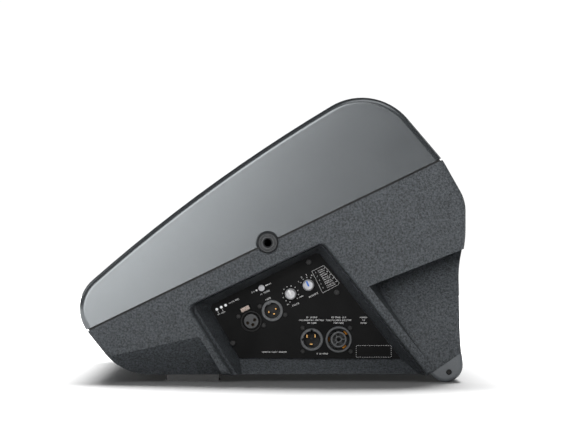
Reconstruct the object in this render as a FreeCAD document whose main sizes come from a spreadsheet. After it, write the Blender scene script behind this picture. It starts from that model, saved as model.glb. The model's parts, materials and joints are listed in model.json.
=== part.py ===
"""Stage monitor wedge: an active floor loudspeaker with a coaxial driver.

Frame: +Z up, millimetres, origin on the floor under the middle of the outline.
-X is the front toe, +X is the rear, -Y is the side with the connector panel.
"""
import FreeCAD, Part
import math
import os
import re
import Sketcher

Vector = FreeCAD.Vector
Rotation = FreeCAD.Rotation
Placement = FreeCAD.Placement

# Driving sizes in millimetres and degrees. Each becomes an alias of the sheet.
SIZES = {
    # enclosure side outline: centres and radii of its arcs
    "cabinet_width": 520, "base_z": 6.8, "wall": 8, "edge_rad": 6,
    "toe_x": -122.6, "toe_rad": 58,
    "nose_x": -155.4, "nose_z": 73.6, "nose_rad": 38,
    "bow_rad": 1617,
    "crown_x": 89.4, "crown_z": 225, "crown_rad": 60, "crown_end": 40.4,
    "shoulder_rad": 60,
    "back_x": 153.3, "back_z": 171.3, "back_rad": 40, "back_lean": 29.5,
    "bulge_z": 153.3, "waist_x": 187.2, "waist_high": 102, "waist_low": 68,
    "heel_edge_x": 188.8, "heel_edge_z": 29.6,
    # joint between the two shells
    "seam_x": -183.8, "seam_z": 52.5, "seam_slope": 25.8, "seam_gap": 2, "groove_depth": 2.2,
    "boss_side_front": 70, "boss_side_rear": 330, "boss_side_gap": 13,
    "boss_front": 17, "boss_rear": 379, "boss_across": 90,
    "boss_rad": 7, "boss_height": 16, "boss_hole_rad": 2.6, "boss_pilot_rad": 2.05,
    "screw_rad": 2, "screw_head_rad": 4, "screw_head_height": 3,
    # loudspeaker baffle, in the baffle frame
    "baffle_drop": 33, "baffle_top": -2, "baffle_thickness": 12,
    "mouth_half_length": 158, "mouth_half_width": 247, "mouth_corner": 20,
    "grille_inset": 3, "grille_thickness": 1.5, "foam_thickness": 6,
    "post_rad": 6, "post_x": 147, "post_y": 234, "post_end_top": 20,
    "post_middle_x": 62, "post_middle_top": 26, "post_end_seat": 23.9, "post_middle_seat": 29.1,
    "port_y": 202, "port_rad": 33, "port_wall": 3, "port_flange_rad": 40, "port_length": 46,
    # driver, in the baffle frame
    "frame_rad": 155, "frame_thickness": 4, "bolt_circle": 148.5, "cone_rad": 111,
    "coil_rad": 38.6, "coil_wall": 1.2, "coil_top": -56, "coil_bottom": -96,
    "motor_rad": 60, "motor_top": -76, "plate_thickness": 8, "magnet_height": 20,
    "back_thickness": 10, "pole_rad": 36.4, "throat_rad": 14,
    "hf_rad": 40, "horn_rad": 50, "horn_top": -12,
    # connector recess
    "recess_depth": 48, "lip_depth": 5, "step_depth": 13, "ledge_rise": 1.2,
    "ledge_left": 9, "ledge_right": 4.5, "ledge_top": 2.5, "rim_corner": 8,
    "panel_corner": 4.5, "panel_thickness": 2, "panel_seal": 1, "floor_thickness": 8, "label_tilt": 26,
    # feet
    "front_foot_x": -80.3, "front_foot_length": 54, "front_foot_y": 221, "front_foot_width": 32,
    "rear_foot_x": 173, "rear_foot_rad": 17.4, "rear_foot_width": 60,
    "rear_foot_tip_x": 157.2, "rear_foot_tip_z": 7.8, "foot_screw_x": 176.3, "foot_screw_z": 10.2,
    "heel_screw_length": 70,
    # threaded fixing points at both ends of the joint line
    "insert_x": -4.9, "insert_z": 139.5, "insert_rad": 10, "insert_gap": 0.7,
    "insert_flange_rad": 17, "collar_rad": 6.4, "thread_rad": 4.25, "thread_depth": 24,
    # facet under the front: its crease rises by facet_rise towards the rear from (facet_x, facet_z)
    "facet_x": -66, "facet_z": 47.2, "facet_rise": 0.2185, "facet_lean": 0.7, "facet_end_x": -73.5,
    "facet_end_slope": 0.6096,
    # hand grips
    "grip_x": 96.3, "grip_z": 96, "grip_slope": 21.5, "pillar_slope": -51.9,
    "grip_depth": 42, "grip_drop": 118, "grip_curve": 2.2, "grip_taper": 8,
    # connectors and controls: place on the panel
    "xlr_in_x": -21.8, "xlr_in_z": 59.7, "xlr_out_x": -0.5, "xlr_out_z": 70.4,
    "xlr_rad": 10.3, "xlr_flange_rad": 10.9, "xlr_bore_rad": 9.4, "xlr_insert_rad": 7.4,
    "xlr_plug_bore_rad": 8.15, "xlr_floor": 3, "xlr_plate_half_x": 11.7, "xlr_plate_half_y": 11.2,
    "ac_in_x": 39.5, "ac_in_z": 41.1, "ac_out_x": 66.7, "ac_out_z": 41.2,
    "ac_in_rad": 11.55, "ac_out_rad": 13.4, "ac_back": -24, "ac_floor": -21,
    "ac_core_height": 4, "ac_plate_half_x": 14.8, "ac_plate_half_y": 14.6,
    "level_x": 18, "level_z": 87.3, "preset_x": 36, "preset_z": 96.2,
    "knob_rad": 5.75, "knob_height": 10, "shaft_rad": 3,
    "filter_x": -11.4, "filter_z": 93.3, "filter_rad": 3.15,
    "latch_offset": 13.9, "latch_width": 10, "latch_height": 4.8,
    "board_depth": 16, "board_thickness": 1.6,
    # small screws on the panel
    "small_head": 2.3, "panel_head": 2.8, "cross_long": 1.5, "cross_short": 0.35,
}

# Points on the panel, as (x, z) pairs.
XLR_SCREWS = [(-34.7, 64.5), (-9.1, 55.4), (-13.2, 74.8), (12.7, 66.1)]
AC_SCREWS = [(30.3, 52.7), (30.3, 28.9), (78.2, 52.9), (79, 28.9)]
PANEL_SCREWS = [(-40.4, 37.6), (64.8, 89), (36.5, 119.6)]
PANEL_LUGS = [4.5, 8, 4.5]
LEDS = [(-56.7, 71.7), (-52.2, 73.9), (-47.8, 75.9)]
XLR_IN_CONTACTS = [(-25.4, 57.8), (-20.1, 56.1), (-18.4, 61.1)]
XLR_OUT_PINS = [(-4, 68.7), (1.4, 67), (3.2, 72.1)]

# Corners of the recess rim and of the panel, from the upper left and round, as (x, z) pairs.
RIM = [(-89, 74.6), (-38.3, -6), (167.7, -6), (51.4, 141.6)]
PANEL = [(-64.9, 75.3), (-34.3, 22), (130.3, 21.3), (46, 130.3)]

# Longer than anything in the wedge, for the blocks that part it.
SPAN = 900

doc = FreeCAD.newDocument("StageMonitorWedge")
sheet = doc.addObject("Spreadsheet::Sheet", "dims")


def derive_outline(size):
    """Arc centres and angles that follow from tangency along the side outline."""
    derived = {"toe_z": size["base_z"] + size["toe_rad"]}
    nose = Vector(size["nose_x"], size["nose_z"], 0)
    toe = Vector(size["toe_x"], derived["toe_z"], 0)
    crown = Vector(size["crown_x"], size["crown_z"], 0)
    gap = nose - toe
    lean = math.degrees(math.acos((size["toe_rad"] - size["nose_rad"]) / gap.Length))
    derived["toe_start"] = math.degrees(math.atan2(gap.y, gap.x)) + lean
    # the bow touches the nose arc and the crown arc from outside
    to_nose = size["bow_rad"] - size["nose_rad"]
    to_crown = size["bow_rad"] - size["crown_rad"]
    chord = crown - nose
    along = (to_nose ** 2 - to_crown ** 2 + chord.Length ** 2) / (2 * chord.Length)
    drop = math.sqrt(to_nose ** 2 - along ** 2)
    step = chord / chord.Length
    bow = nose + step * along + Vector(step.y, -step.x, 0) * drop
    derived["bow_x"] = bow.x
    derived["bow_z"] = bow.y
    derived["bow_start"] = math.degrees(math.atan2(crown.y - bow.y, crown.x - bow.x))
    derived["bow_end"] = math.degrees(math.atan2(nose.y - bow.y, nose.x - bow.x))
    derived["baffle_tilt"] = (derived["bow_start"] + derived["bow_end"]) / 2 - 90
    # the rear swells from the waist to the back in two equal arcs
    rise = size["bulge_z"] - size["waist_high"]
    back_face = size["back_x"] + size["back_rad"]
    derived["sway"] = 2 * math.degrees(math.atan((back_face - size["waist_x"]) / rise))
    derived["sway_rad"] = rise / (2 * math.sin(math.radians(derived["sway"])))
    derived["bulge_x"] = back_face - derived["sway_rad"]
    derived["hollow_x"] = size["waist_x"] + derived["sway_rad"]
    # below the waist it flares to the heel
    fall = size["waist_low"] - size["heel_edge_z"]
    derived["flare"] = 2 * math.degrees(math.atan((size["heel_edge_x"] - size["waist_x"]) / fall))
    flare = math.radians(derived["flare"])
    derived["flare_rad"] = fall / math.sin(flare)
    derived["flare_x"] = size["waist_x"] + derived["flare_rad"]
    derived["heel_rad"] = (size["heel_edge_z"] - size["base_z"]) / (1 + math.sin(flare))
    derived["heel_x"] = size["heel_edge_x"] - derived["heel_rad"] * math.cos(flare)
    derived["heel_z"] = size["base_z"] + derived["heel_rad"]
    # a soft shoulder between the back slope and the crown slope, at the end of the joint
    reach = []
    for name in ("back", "crown"):
        angle = math.radians(size["back_lean"] if name == "back" else size["crown_end"])
        normal = Vector(math.cos(angle), math.sin(angle), 0)
        centre = Vector(size[name + "_x"], size[name + "_z"], 0)
        reach.append((normal, centre.dot(normal) + size[name + "_rad"] - size["shoulder_rad"]))
    (low, low_reach), (high, high_reach) = reach
    spread = low.x * high.y - low.y * high.x
    derived["shoulder_x"] = (low_reach * high.y - high_reach * low.y) / spread
    derived["shoulder_z"] = (high_reach * low.x - low_reach * high.x) / spread
    return derived


def fill_sheet(sizes):
    """One row for each size: its name, and its plain number with the alias."""
    for row, (alias, number) in enumerate(sizes.items(), 1):
        sheet.set("A%d" % row, alias.replace("_", " "))
        sheet.set("B%d" % row, repr(round(float(number), 9)))
        sheet.setAlias("B%d" % row, alias)
    doc.recompute()


SIZES.update(derive_outline(SIZES))
fill_sheet(SIZES)


def full(expression):
    """The expression with each size name written as dims.name."""
    return re.sub(r"[a-z]\w*", lambda word: "dims." + word[0] if word[0] in SIZES else word[0],
                  str(expression))


def value(expression):
    return float(sheet.evalExpression(full(expression)))


def bind(thing, name, expression):
    """Set a property and, where the size comes from the sheet, tie it to the sheet."""
    if isinstance(expression, str):
        thing.setExpression(name, full(expression))
    else:
        setattr(thing, name, expression)


# ---------------------------------------------------------------- sketches and features

def new_body(name, place=None):
    body = doc.addObject("PartDesign::Body", name)
    body.Label = name
    if place is not None:
        body.Placement = place
    return body


def new_sketch(body, plane, offset=0):
    """An empty sketch on one of the body's own planes, moved along the plane's normal."""
    sketch = body.newObject("Sketcher::SketchObject", body.Name + "_sketch")
    support = [feature for feature in body.Origin.OriginFeatures if feature.Role == plane][0]
    sketch.AttachmentSupport = [(support, "")]
    sketch.MapMode = "FlatFace"
    if isinstance(offset, str):
        sketch.setExpression("AttachmentOffset.Base.z", full(offset))
    elif offset:
        sketch.AttachmentOffset = Placement(Vector(0, 0, offset), Rotation())
    return sketch


def arc_between(start, end, radius):
    """A minor arc; it turns left for a positive radius and right for a negative one."""
    chord = end - start
    side = Vector(-chord.y, chord.x, 0) / chord.Length * math.copysign(1, radius)
    centre = (start + end) / 2 + side * math.sqrt(max(radius ** 2 - chord.Length ** 2 / 4, 0))
    first, last = (start, end) if radius > 0 else (end, start)
    circle = Part.Circle(centre, Vector(0, 0, 1), abs(radius))
    angles = [math.atan2(point.y - centre.y, point.x - centre.x) for point in (first, last)]
    return Part.ArcOfCircle(circle, angles[0], angles[1] + (2 * math.pi if angles[1] < angles[0] else 0))


def tie(sketch, kind, arguments, expression):
    """A dimension whose value comes from the sheet."""
    index = sketch.addConstraint(Sketcher.Constraint(kind, *arguments, value(expression)))
    if isinstance(expression, str):
        sketch.setExpression("Constraints[%d]" % index, full(expression))


def draw(sketch, outline):
    """A closed outline. A third entry is the radius of an arc to the next corner."""
    base = sketch.GeometryCount
    corners = [Vector(value(corner[0]), value(corner[1]), 0) for corner in outline]
    ends = []
    for index, corner in enumerate(outline):
        start, end = corners[index], corners[(index + 1) % len(corners)]
        if len(corner) == 3:
            radius = value(corner[2])
            sketch.addGeometry(arc_between(start, end, radius), False)
            ends.append((1, 2) if radius > 0 else (2, 1))
        else:
            sketch.addGeometry(Part.LineSegment(start, end), False)
            ends.append((1, 2))
    for index, corner in enumerate(outline):
        following = (index + 1) % len(outline)
        here, after = base + index, base + following
        sketch.addConstraint(Sketcher.Constraint("Coincident", here, ends[index][1],
                                                 after, ends[following][0]))
        tie(sketch, "DistanceX", (-1, 1, here, ends[index][0]), corner[0])
        tie(sketch, "DistanceY", (-1, 1, here, ends[index][0]), corner[1])
        if len(corner) == 3:
            radius = corner[2]
            if isinstance(radius, str) and radius.startswith("-"):
                radius = radius[1:]
            tie(sketch, "Radius", (here,), radius if isinstance(radius, str) else abs(radius))


def ring(sketch, x, y, radius):
    index = sketch.addGeometry(Part.Circle(Vector(value(x), value(y), 0), Vector(0, 0, 1),
                                           value(radius)), False)
    tie(sketch, "DistanceX", (-1, 1, index, 3), x)
    tie(sketch, "DistanceY", (-1, 1, index, 3), y)
    tie(sketch, "Radius", (index,), radius)


def feature(body, kind, sketch, length, symmetric=False, reverse=False):
    made = body.newObject("PartDesign::" + kind, body.Name + "_" + kind.lower())
    made.Profile = sketch
    if symmetric:
        made.SideType = "Symmetric"
    bind(made, "Length", length)
    made.Reversed = reverse
    doc.recompute()
    return made


def pad(body, sketch, length, symmetric=False, reverse=False):
    return feature(body, "Pad", sketch, length, symmetric, reverse)


def pocket(body, sketch, length, symmetric=False, reverse=False):
    before = body.Shape.Volume
    made = feature(body, "Pocket", sketch, length, symmetric, reverse)
    if body.Shape.Volume >= before:
        raise RuntimeError(made.Name + " cuts nothing")
    return made


def turned(name, outline, place=None):
    """A body turned about its own Z axis from an outline of (radius, height) corners."""
    body = new_body(name, place)
    sketch = new_sketch(body, "XZ_Plane")
    draw(sketch, outline)
    turn = body.newObject("PartDesign::Revolution", name + "_turn")
    turn.Profile = sketch
    turn.ReferenceAxis = (sketch, ["V_Axis"])
    turn.Angle = 360
    doc.recompute()
    return body


def box_on(body, plane, x_low, x_high, y_low, y_high, offset, length, cut=False, reverse=False):
    """A rectangular pad or pocket from one of the body's planes."""
    sketch = new_sketch(body, plane, offset)
    draw(sketch, [(x_low, y_low), (x_high, y_low), (x_high, y_high), (x_low, y_high)])
    return (pocket if cut else pad)(body, sketch, length, reverse=reverse)


def discs(body, points, radius, offset, length, cut=False, reverse=False):
    """Round pads or pockets at (x, y) points, from the body's XY plane."""
    sketch = new_sketch(body, "XY_Plane", offset)
    for x, y in points:
        ring(sketch, x, y, radius)
    return (pocket if cut else pad)(body, sketch, length, reverse=reverse)


def around(body, made, count):
    """Repeat a feature round the body's own Z axis."""
    pattern = body.newObject("PartDesign::PolarPattern", body.Name + "_around")
    pattern.Originals = [made]
    axis = [part for part in body.Origin.OriginFeatures if part.Role == "Z_Axis"][0]
    pattern.Axis = (axis, [""])
    pattern.Angle = 360
    pattern.Occurrences = count
    body.Tip = pattern
    doc.recompute()
    return pattern


def soften(body, radius, wanted, kind="Fillet"):
    """Round or bevel the edges of the body's last feature that wanted(edge) picks."""
    base = body.Tip
    names = ["Edge%d" % number for number, edge in enumerate(base.Shape.Edges, 1) if wanted(edge)]
    made = body.newObject("PartDesign::" + kind, body.Name + "_" + kind.lower())
    made.Base = (base, names)
    bind(made, "Radius" if kind == "Fillet" else "Size", radius)
    doc.recompute()
    return made


def flat_at(level, axis="z"):
    """Picks the edges that lie in one plane square to an axis."""
    def wanted(edge):
        box = edge.BoundBox
        low, high = {"x": (box.XMin, box.XMax), "y": (box.YMin, box.YMax), "z": (box.ZMin, box.ZMax)}[axis]
        return abs(low - level) < 0.001 and abs(high - level) < 0.001
    return wanted


def boolean(kind, name, base, tool):
    made = doc.addObject("Part::" + kind, name)
    made.Label = name
    made.Base = base
    made.Tool = tool
    doc.recompute()
    return made


def solid_feature(name, shape):
    made = doc.addObject("Part::Feature", name)
    made.Label = name
    made.Shape = shape
    return made


# ---------------------------------------------------------------- frames

HALF_WIDTH = value("cabinet_width / 2")
PANEL_FACE = value("cabinet_width / 2 - recess_depth + panel_thickness + panel_seal")


def on_baffle(x=0, y=0, z=0):
    """The baffle frame: X along the baffle towards the rear, Z out of the grille."""
    turn = Rotation(Vector(0, 1, 0), -value("baffle_tilt"))
    crest_angle = math.radians(value("baffle_tilt + 90"))
    reach = value("bow_rad - baffle_drop")
    origin = Vector(value("bow_x") + reach * math.cos(crest_angle), 0,
                    value("bow_z") + reach * math.sin(crest_angle))
    return Placement(origin + turn.multVec(Vector(x, y, z)), turn)


def on_seam(x=0, y=0, z=0):
    """The joint frame: X up the joint line from the nose, Z square to the joint."""
    turn = Rotation(Vector(0, 1, 0), -value("seam_slope"))
    return Placement(Vector(value("seam_x"), 0, value("seam_z")) + turn.multVec(Vector(x, y, z)), turn)


def on_panel(x, z, tilt=0):
    """A frame on the panel's face: Z out of the panel, X to the right, turned by tilt."""
    turn = Rotation(Vector(1, 0, 0), 90) * Rotation(Vector(0, 0, 1), value(tilt))
    return Placement(Vector(value(x), -PANEL_FACE, value(z)), turn)


# ---------------------------------------------------------------- enclosure

def side_outline(inset):
    """The wedge's side outline, moved inwards by inset. Arcs run anticlockwise from the toe."""
    arcs = [
        ("toe", "toe_start", "270", 1),
        ("heel", "270", "360 + flare", 1),
        ("flare", "180 + flare", "180", -1),
        ("hollow", "180", "180 - sway", -1),
        ("bulge", "-sway", "0", 1),
        ("back", "0", "back_lean", 1),
        ("shoulder", "back_lean", "crown_end", 1),
        ("crown", "crown_end", "bow_start", 1),
        ("bow", "bow_start", "bow_end", 1),
        ("nose", "bow_end", "toe_start", 1),
    ]
    centres = {"flare": ("flare_x", "waist_low", "flare_rad"),
               "hollow": ("hollow_x", "waist_high", "sway_rad"),
               "bulge": ("bulge_x", "bulge_z", "sway_rad")}
    outline = []
    for name, start, end, turn in arcs:
        x, z, radius = centres.get(name, (name + "_x", name + "_z", name + "_rad"))
        reach = "(%s %s %s)" % (radius, "-" if turn > 0 else "+", inset)
        first = ("%s + %s * cos(%s)" % (x, reach, start), "%s + %s * sin(%s)" % (z, reach, start))
        last = ("%s + %s * cos(%s)" % (x, reach, end), "%s + %s * sin(%s)" % (z, reach, end))
        arc = (reach if turn > 0 else "-" + reach,)
        if outline and outline[-1] == first:
            outline.pop()
        outline.append(first + arc)
        outline.append(last)
    # the bow runs straight on from the crown arc, and the nose arc from the bow
    return merge_joints(outline)


def merge_joints(outline):
    """Drop the corner that one arc's end shares with the next arc's start."""
    kept = []
    for corner in outline:
        if kept and len(kept[-1]) == 2:
            gap = math.hypot(value(kept[-1][0]) - value(corner[0]), value(kept[-1][1]) - value(corner[1]))
            if gap < 1e-6:
                kept.pop()
        kept.append(corner)
    return kept


def wedge_block(name, inset, soft=False):
    """The whole wedge as one block, to be parted at the joint."""
    body = new_body(name)
    sketch = new_sketch(body, "XZ_Plane")
    draw(sketch, side_outline(inset))
    pad(body, sketch, "cabinet_width - 2 * (%s)" % inset, symmetric=True)
    if soft:
        half = value("cabinet_width / 2 - (%s)" % inset)
        soften(body, "edge_rad", lambda edge: flat_at(half, "y")(edge) or flat_at(-half, "y")(edge))
    return body


def seam_half(name, low, high):
    """A slab parallel to the joint, between two heights in the joint frame."""
    block = doc.addObject("Part::Box", name)
    block.Length = SPAN
    block.Width = SPAN
    bind(block, "Height", "%s - (%s)" % (high, low))
    block.Placement = on_seam(-SPAN / 2, -SPAN / 2, value(low))
    return block


def offset_corners(corners, insets):
    """Move each side of a polygon inwards; inset i belongs to the side after corner i."""
    lines = []
    count = len(corners)
    for index in range(count):
        start = Vector(corners[index][0], corners[index][1], 0)
        end = Vector(corners[(index + 1) % count][0], corners[(index + 1) % count][1], 0)
        along = (end - start).normalize()
        inward = Vector(-along.y, along.x, 0)
        lines.append((start + inward * insets[index], along))
    moved = []
    for index in range(count):
        (point, along), (other, across) = lines[index - 1], lines[index]
        spread = along.x * across.y - along.y * across.x
        gap = other - point
        distance = (gap.x * across.y - gap.y * across.x) / spread
        moved.append(point + along * distance)
    return moved


def ring_wire(corners, depth, radii):
    """A closed wire at a depth inside the panel side, with corners rounded by radii."""
    edges = []
    joints = []
    count = len(corners)
    for index, corner in enumerate(corners):
        before = (corners[index - 1] - corner).normalize()
        after = (corners[(index + 1) % count] - corner).normalize()
        half = before.getAngle(after) / 2
        reach = radii[index] / math.tan(half)
        middle = corner + (before + after).normalize() * (radii[index] / math.sin(half) - radii[index])
        joints.append((corner + before * reach, middle, corner + after * reach))
    lift = [[Vector(point.x, -HALF_WIDTH + depth, point.y) for point in joint] for joint in joints]
    for index in range(count):
        start, middle, end = lift[index]
        if radii[index] > 0:
            edges.append(Part.Arc(start, middle, end).toShape())
        edges.append(Part.LineSegment(end, lift[(index + 1) % count][0]).toShape())
    return Part.Wire(edges)


def recess_section(left, right, top, depth, radius):
    corners = offset_corners(RIM, [left, 0, right, top])
    return ring_wire(corners, depth, [radius, 0, 0, radius])


def recess_shape():
    """The connector recess: a rounded lip, a narrow groove and ledge, and walls down to the panel."""
    lip, step, floor = value("lip_depth"), value("step_depth"), value("recess_depth")
    left, right, top = value("ledge_left"), value("ledge_right"), value("ledge_top")
    radius, lip_share = value("rim_corner"), 0.55
    sections = [recess_section(0, 0, 0, -1, radius)]
    for turn in (0, 30, 60, 90):
        angle = math.radians(turn)
        share = lip_share * math.sin(angle)
        sections.append(recess_section(left * share, right * share, top * share,
                                       lip * (1 - math.cos(angle)), radius - 2 * share))
    sections.append(recess_section(left * 0.7, right * 0.7, top * 0.7, step + value("ledge_rise"), 5.5))
    sections.append(recess_section(left, right, top, step, 5))
    panel = [Vector(x, z, 0) for x, z in PANEL]
    sections.append(ring_wire(panel, floor, [4, 0, 0, 4]))
    return Part.makeLoft(sections, True, True)


def prism(corners, low, high):
    """A block between two depths inside the panel side."""
    wire = Part.makePolygon([Vector(point.x, -HALF_WIDTH + low, point.y)
                             for point in corners + corners[:1]])
    return Part.Face(wire).extrude(Vector(0, high - low, 0))


def grip_shape(grow):
    """A hand grip: a curved ramp that deepens up to a sharp overhang, open to the rear."""
    slope = math.radians(value("grip_slope"))
    along = Vector(math.cos(slope), math.sin(slope), 0)
    down = Vector(along.y, -along.x, 0)
    top = Vector(value("grip_x"), value("grip_z"), 0) - down * grow
    pillar_turn = math.radians(value("pillar_slope"))
    pillar = Vector(math.cos(pillar_turn), math.sin(pillar_turn), 0)
    depth = value("grip_depth") + grow
    reach, drop, beyond, taper = 250, 135, 160, value("grip_taper")

    def outline(shift):
        """The pillar edge, the foot and the overhang; it runs out past the rear face."""
        start = top + along * (shift - grow)
        foot = start + pillar * drop
        return [start, foot, Vector(240, foot.y, 0), top + along * beyond]

    wires = [ring_wire(outline(shift), at, [0, 0, 0, 0]) for shift, at in ((0, -1), (taper, depth + 1))]
    region = Part.makeLoft(wires, True, True)
    # the ramp's profile, square to the overhang: (distance below it, depth)
    length = value("grip_drop") + grow
    steps = 12
    profile = [(-20, -2), (-20, depth)]
    for step in range(steps + 1):
        share = step / steps
        profile.append((length * share, grow + value("grip_depth") * (1 - share) ** value("grip_curve")))
    profile.append((length + 40, grow))
    profile.append((length + 40, -2))
    start = top - along * 60 + down * grow
    points = [start + down * (distance - grow) for distance, _ in profile]
    lifted = [Vector(point.x, -HALF_WIDTH + at, point.y) for point, (_, at) in zip(points, profile)]
    ramp = Part.Face(Part.makePolygon(lifted + lifted[:1])).extrude(
        Vector(along.x, 0, along.y) * reach)
    return region.common(ramp)


def chin_shape(grow):
    """The facet under the front: it slopes inwards below a rising crease."""
    rise, lean, end_slope = value("facet_rise"), value("facet_lean"), value("facet_end_slope")
    crease_z = value("facet_z") + grow * math.hypot(1, lean) / lean
    front_x, low_z, crease_x = -210, -12, value("facet_x")

    def section(x_top, x_bottom):
        """A triangle from the crease down and inwards."""
        top_z = crease_z + rise * (x_top - crease_x)
        inward = lean * (crease_z + rise * (x_bottom - crease_x) - low_z)
        points = [Vector(x_top, -HALF_WIDTH, top_z), Vector(x_bottom, -HALF_WIDTH, low_z),
                  Vector(x_bottom, -HALF_WIDTH + inward, low_z)]
        return Part.makePolygon(points + points[:1])

    right_top = value("facet_end_x") + grow
    right_bottom = right_top + (crease_z + rise * (right_top - crease_x) - low_z) * end_slope
    return Part.makeLoft([section(front_x, front_x), section(right_top, right_bottom)], True, True)


def heel_cut(grow):
    """The corner that a rear foot replaces."""
    tip = Vector(value("rear_foot_tip_x"), value("rear_foot_tip_z"), 0)
    end = Vector(value("heel_edge_x"), value("heel_edge_z"), 0)
    along = (end - tip).normalize()
    up = Vector(-along.y, along.x, 0) * grow
    start, finish = tip - along * 30 + up, end + along * 30 + up
    corners = [start, Vector(start.x, -60, 0), Vector(finish.x, -60, 0), finish]
    return prism(corners, -1, value("rear_foot_width") + grow)


def end_posts():
    """Grille posts in the four corners, in the baffle frame."""
    x, y = value("post_x"), value("post_y")
    return [(-x, -y), (-x, y), (x, -y), (x, y)]


def middle_posts():
    """Taller grille posts beside the ports, where the grille bows out most."""
    x, y = value("post_middle_x"), value("post_y")
    return [(-x, -y), (-x, y), (x, -y), (x, y)]


def boss_points():
    """Screw bosses beside the walls, in the joint frame."""
    side = value("cabinet_width / 2 - boss_side_gap")
    across = value("boss_across")
    ranks = [("boss_side_front", side), ("boss_side_rear", side),
             ("boss_front", across), ("boss_rear", across)]
    return [(value(x), turn * y) for x, y in ranks for turn in (-1, 1)]


def cylinders(points, radius, low, high, place):
    """Round bars at (x, y) points of a frame."""
    bars = []
    for x, y in points:
        bar = Part.makeCylinder(value(radius), value(high) - value(low), Vector(x, y, value(low)))
        bar.Placement = place.multiply(bar.Placement)
        bars.append(bar)
    return bars[0].fuse(bars[1:]) if len(bars) > 1 else bars[0]


def insert_bores():
    """Round holes on the joint line, bevelled at the mouth, one in each side."""
    gap_rad = value("insert_rad + insert_gap")
    bar = Part.makeCylinder(gap_rad, HALF_WIDTH * 2 + 2, Vector(value("insert_x"), -HALF_WIDTH - 1,
                                                               value("insert_z")), Vector(0, 1, 0))
    cones = []
    for side in (-1, 1):
        mouth = Vector(value("insert_x"), side * (HALF_WIDTH + 0.2), value("insert_z"))
        cones.append(Part.makeCone(gap_rad + 1.5, gap_rad, 1.5, mouth, Vector(0, -side, 0)))
    return bar.fuse(cones)


def build_enclosure():
    block = wedge_block("wedge_block", "0", soft=True)
    hollow = wedge_block("wedge_hollow", "wall")
    gasket_block = wedge_block("gasket_block", "groove_depth")
    above = seam_half("above_joint", "seam_gap / 2", "500")
    below = seam_half("below_joint", "-500", "-seam_gap / 2")
    between = seam_half("between_joint", "-seam_gap / 2", "seam_gap / 2")
    doc.recompute()
    bores = solid_feature("insert_bores", insert_bores())
    seal = boolean("Cut", "gasket_blank", boolean("Common", "gasket_slab", gasket_block, between), hollow)
    boolean("Cut", "shell_gasket", seal, bores)
    build_front_shell(block, hollow, above, bores)
    build_rear_cabinet(block, hollow, below, bores)


def build_front_shell(block, hollow, above, bores):
    """The front moulding: nose, crown, bezel and baffle in one piece."""
    baffle = on_baffle()
    baffle_low = value("baffle_top - baffle_thickness")
    upper = Part.makeBox(SPAN, SPAN, SPAN, Vector(-SPAN / 2, -SPAN / 2, baffle_low))
    upper.Placement = baffle.multiply(upper.Placement)
    bosses = cylinders(boss_points(), "boss_rad", "seam_gap / 2", "seam_gap / 2 + boss_height", on_seam())
    cavity = hollow.Shape.cut(upper).cut(bosses)
    mouth = new_body("grille_mouth", on_baffle())
    sketch = new_sketch(mouth, "XY_Plane", "baffle_top")
    x, y, radius = "mouth_half_length", "mouth_half_width", "mouth_corner"
    draw(sketch, rounded_rectangle(x, y, radius))
    pad(mouth, sketch, 60)
    posts = [cylinders(points, "post_rad", "baffle_top - 1", height, baffle)
             for points, height in ((end_posts(), "post_end_top"), (middle_posts(), "post_middle_top"))]
    opening = mouth.Shape.cut(posts)
    ports = cylinders([(0, -value("port_y")), (0, value("port_y"))], "port_rad + 0.3", "-20", "5", baffle)
    woofer = cylinders([(0, 0)], "frame_rad - 14", "-20", "5", baffle)
    bolts = cylinders(bolt_points(), "2.55", "-15", "5", baffle)
    pilots = cylinders(end_posts() + middle_posts(), "1.55", "4", "post_middle_top + 1", baffle)
    holes = cylinders(boss_points(), "boss_pilot_rad", "0", "14", on_seam())
    blank = boolean("Common", "front_blank", block, above)
    cavity_tool = solid_feature("front_cavity", cavity)
    tool = solid_feature("front_openings", opening.fuse([ports, woofer, bolts, pilots, holes, bores.Shape]))
    boolean("Cut", "front_shell", boolean("Cut", "front_hollowed", blank, cavity_tool), tool)


def bolt_points():
    """The driver's bolt circle, in the baffle frame."""
    radius, count = value("bolt_circle"), 8
    turns = [math.radians(22.5 + 360 * number / count) for number in range(count)]
    return [(radius * math.cos(turn), radius * math.sin(turn)) for turn in turns]


def rounded_rectangle(x, y, radius):
    """Outline of a rectangle of half sizes x and y with round corners."""
    outline = []
    for across, up in ((1, -1), (1, 1), (-1, 1), (-1, -1)):
        near = ("%d * (%s - %s)" % (across, x, radius), "%d * (%s)" % (up, y))
        far = ("%d * (%s)" % (across, x), "%d * (%s - %s)" % (up, y, radius))
        first, last = (near, far) if across * up < 0 else (far, near)
        outline.append(first + (radius,))
        outline.append(last)
    return outline


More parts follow.
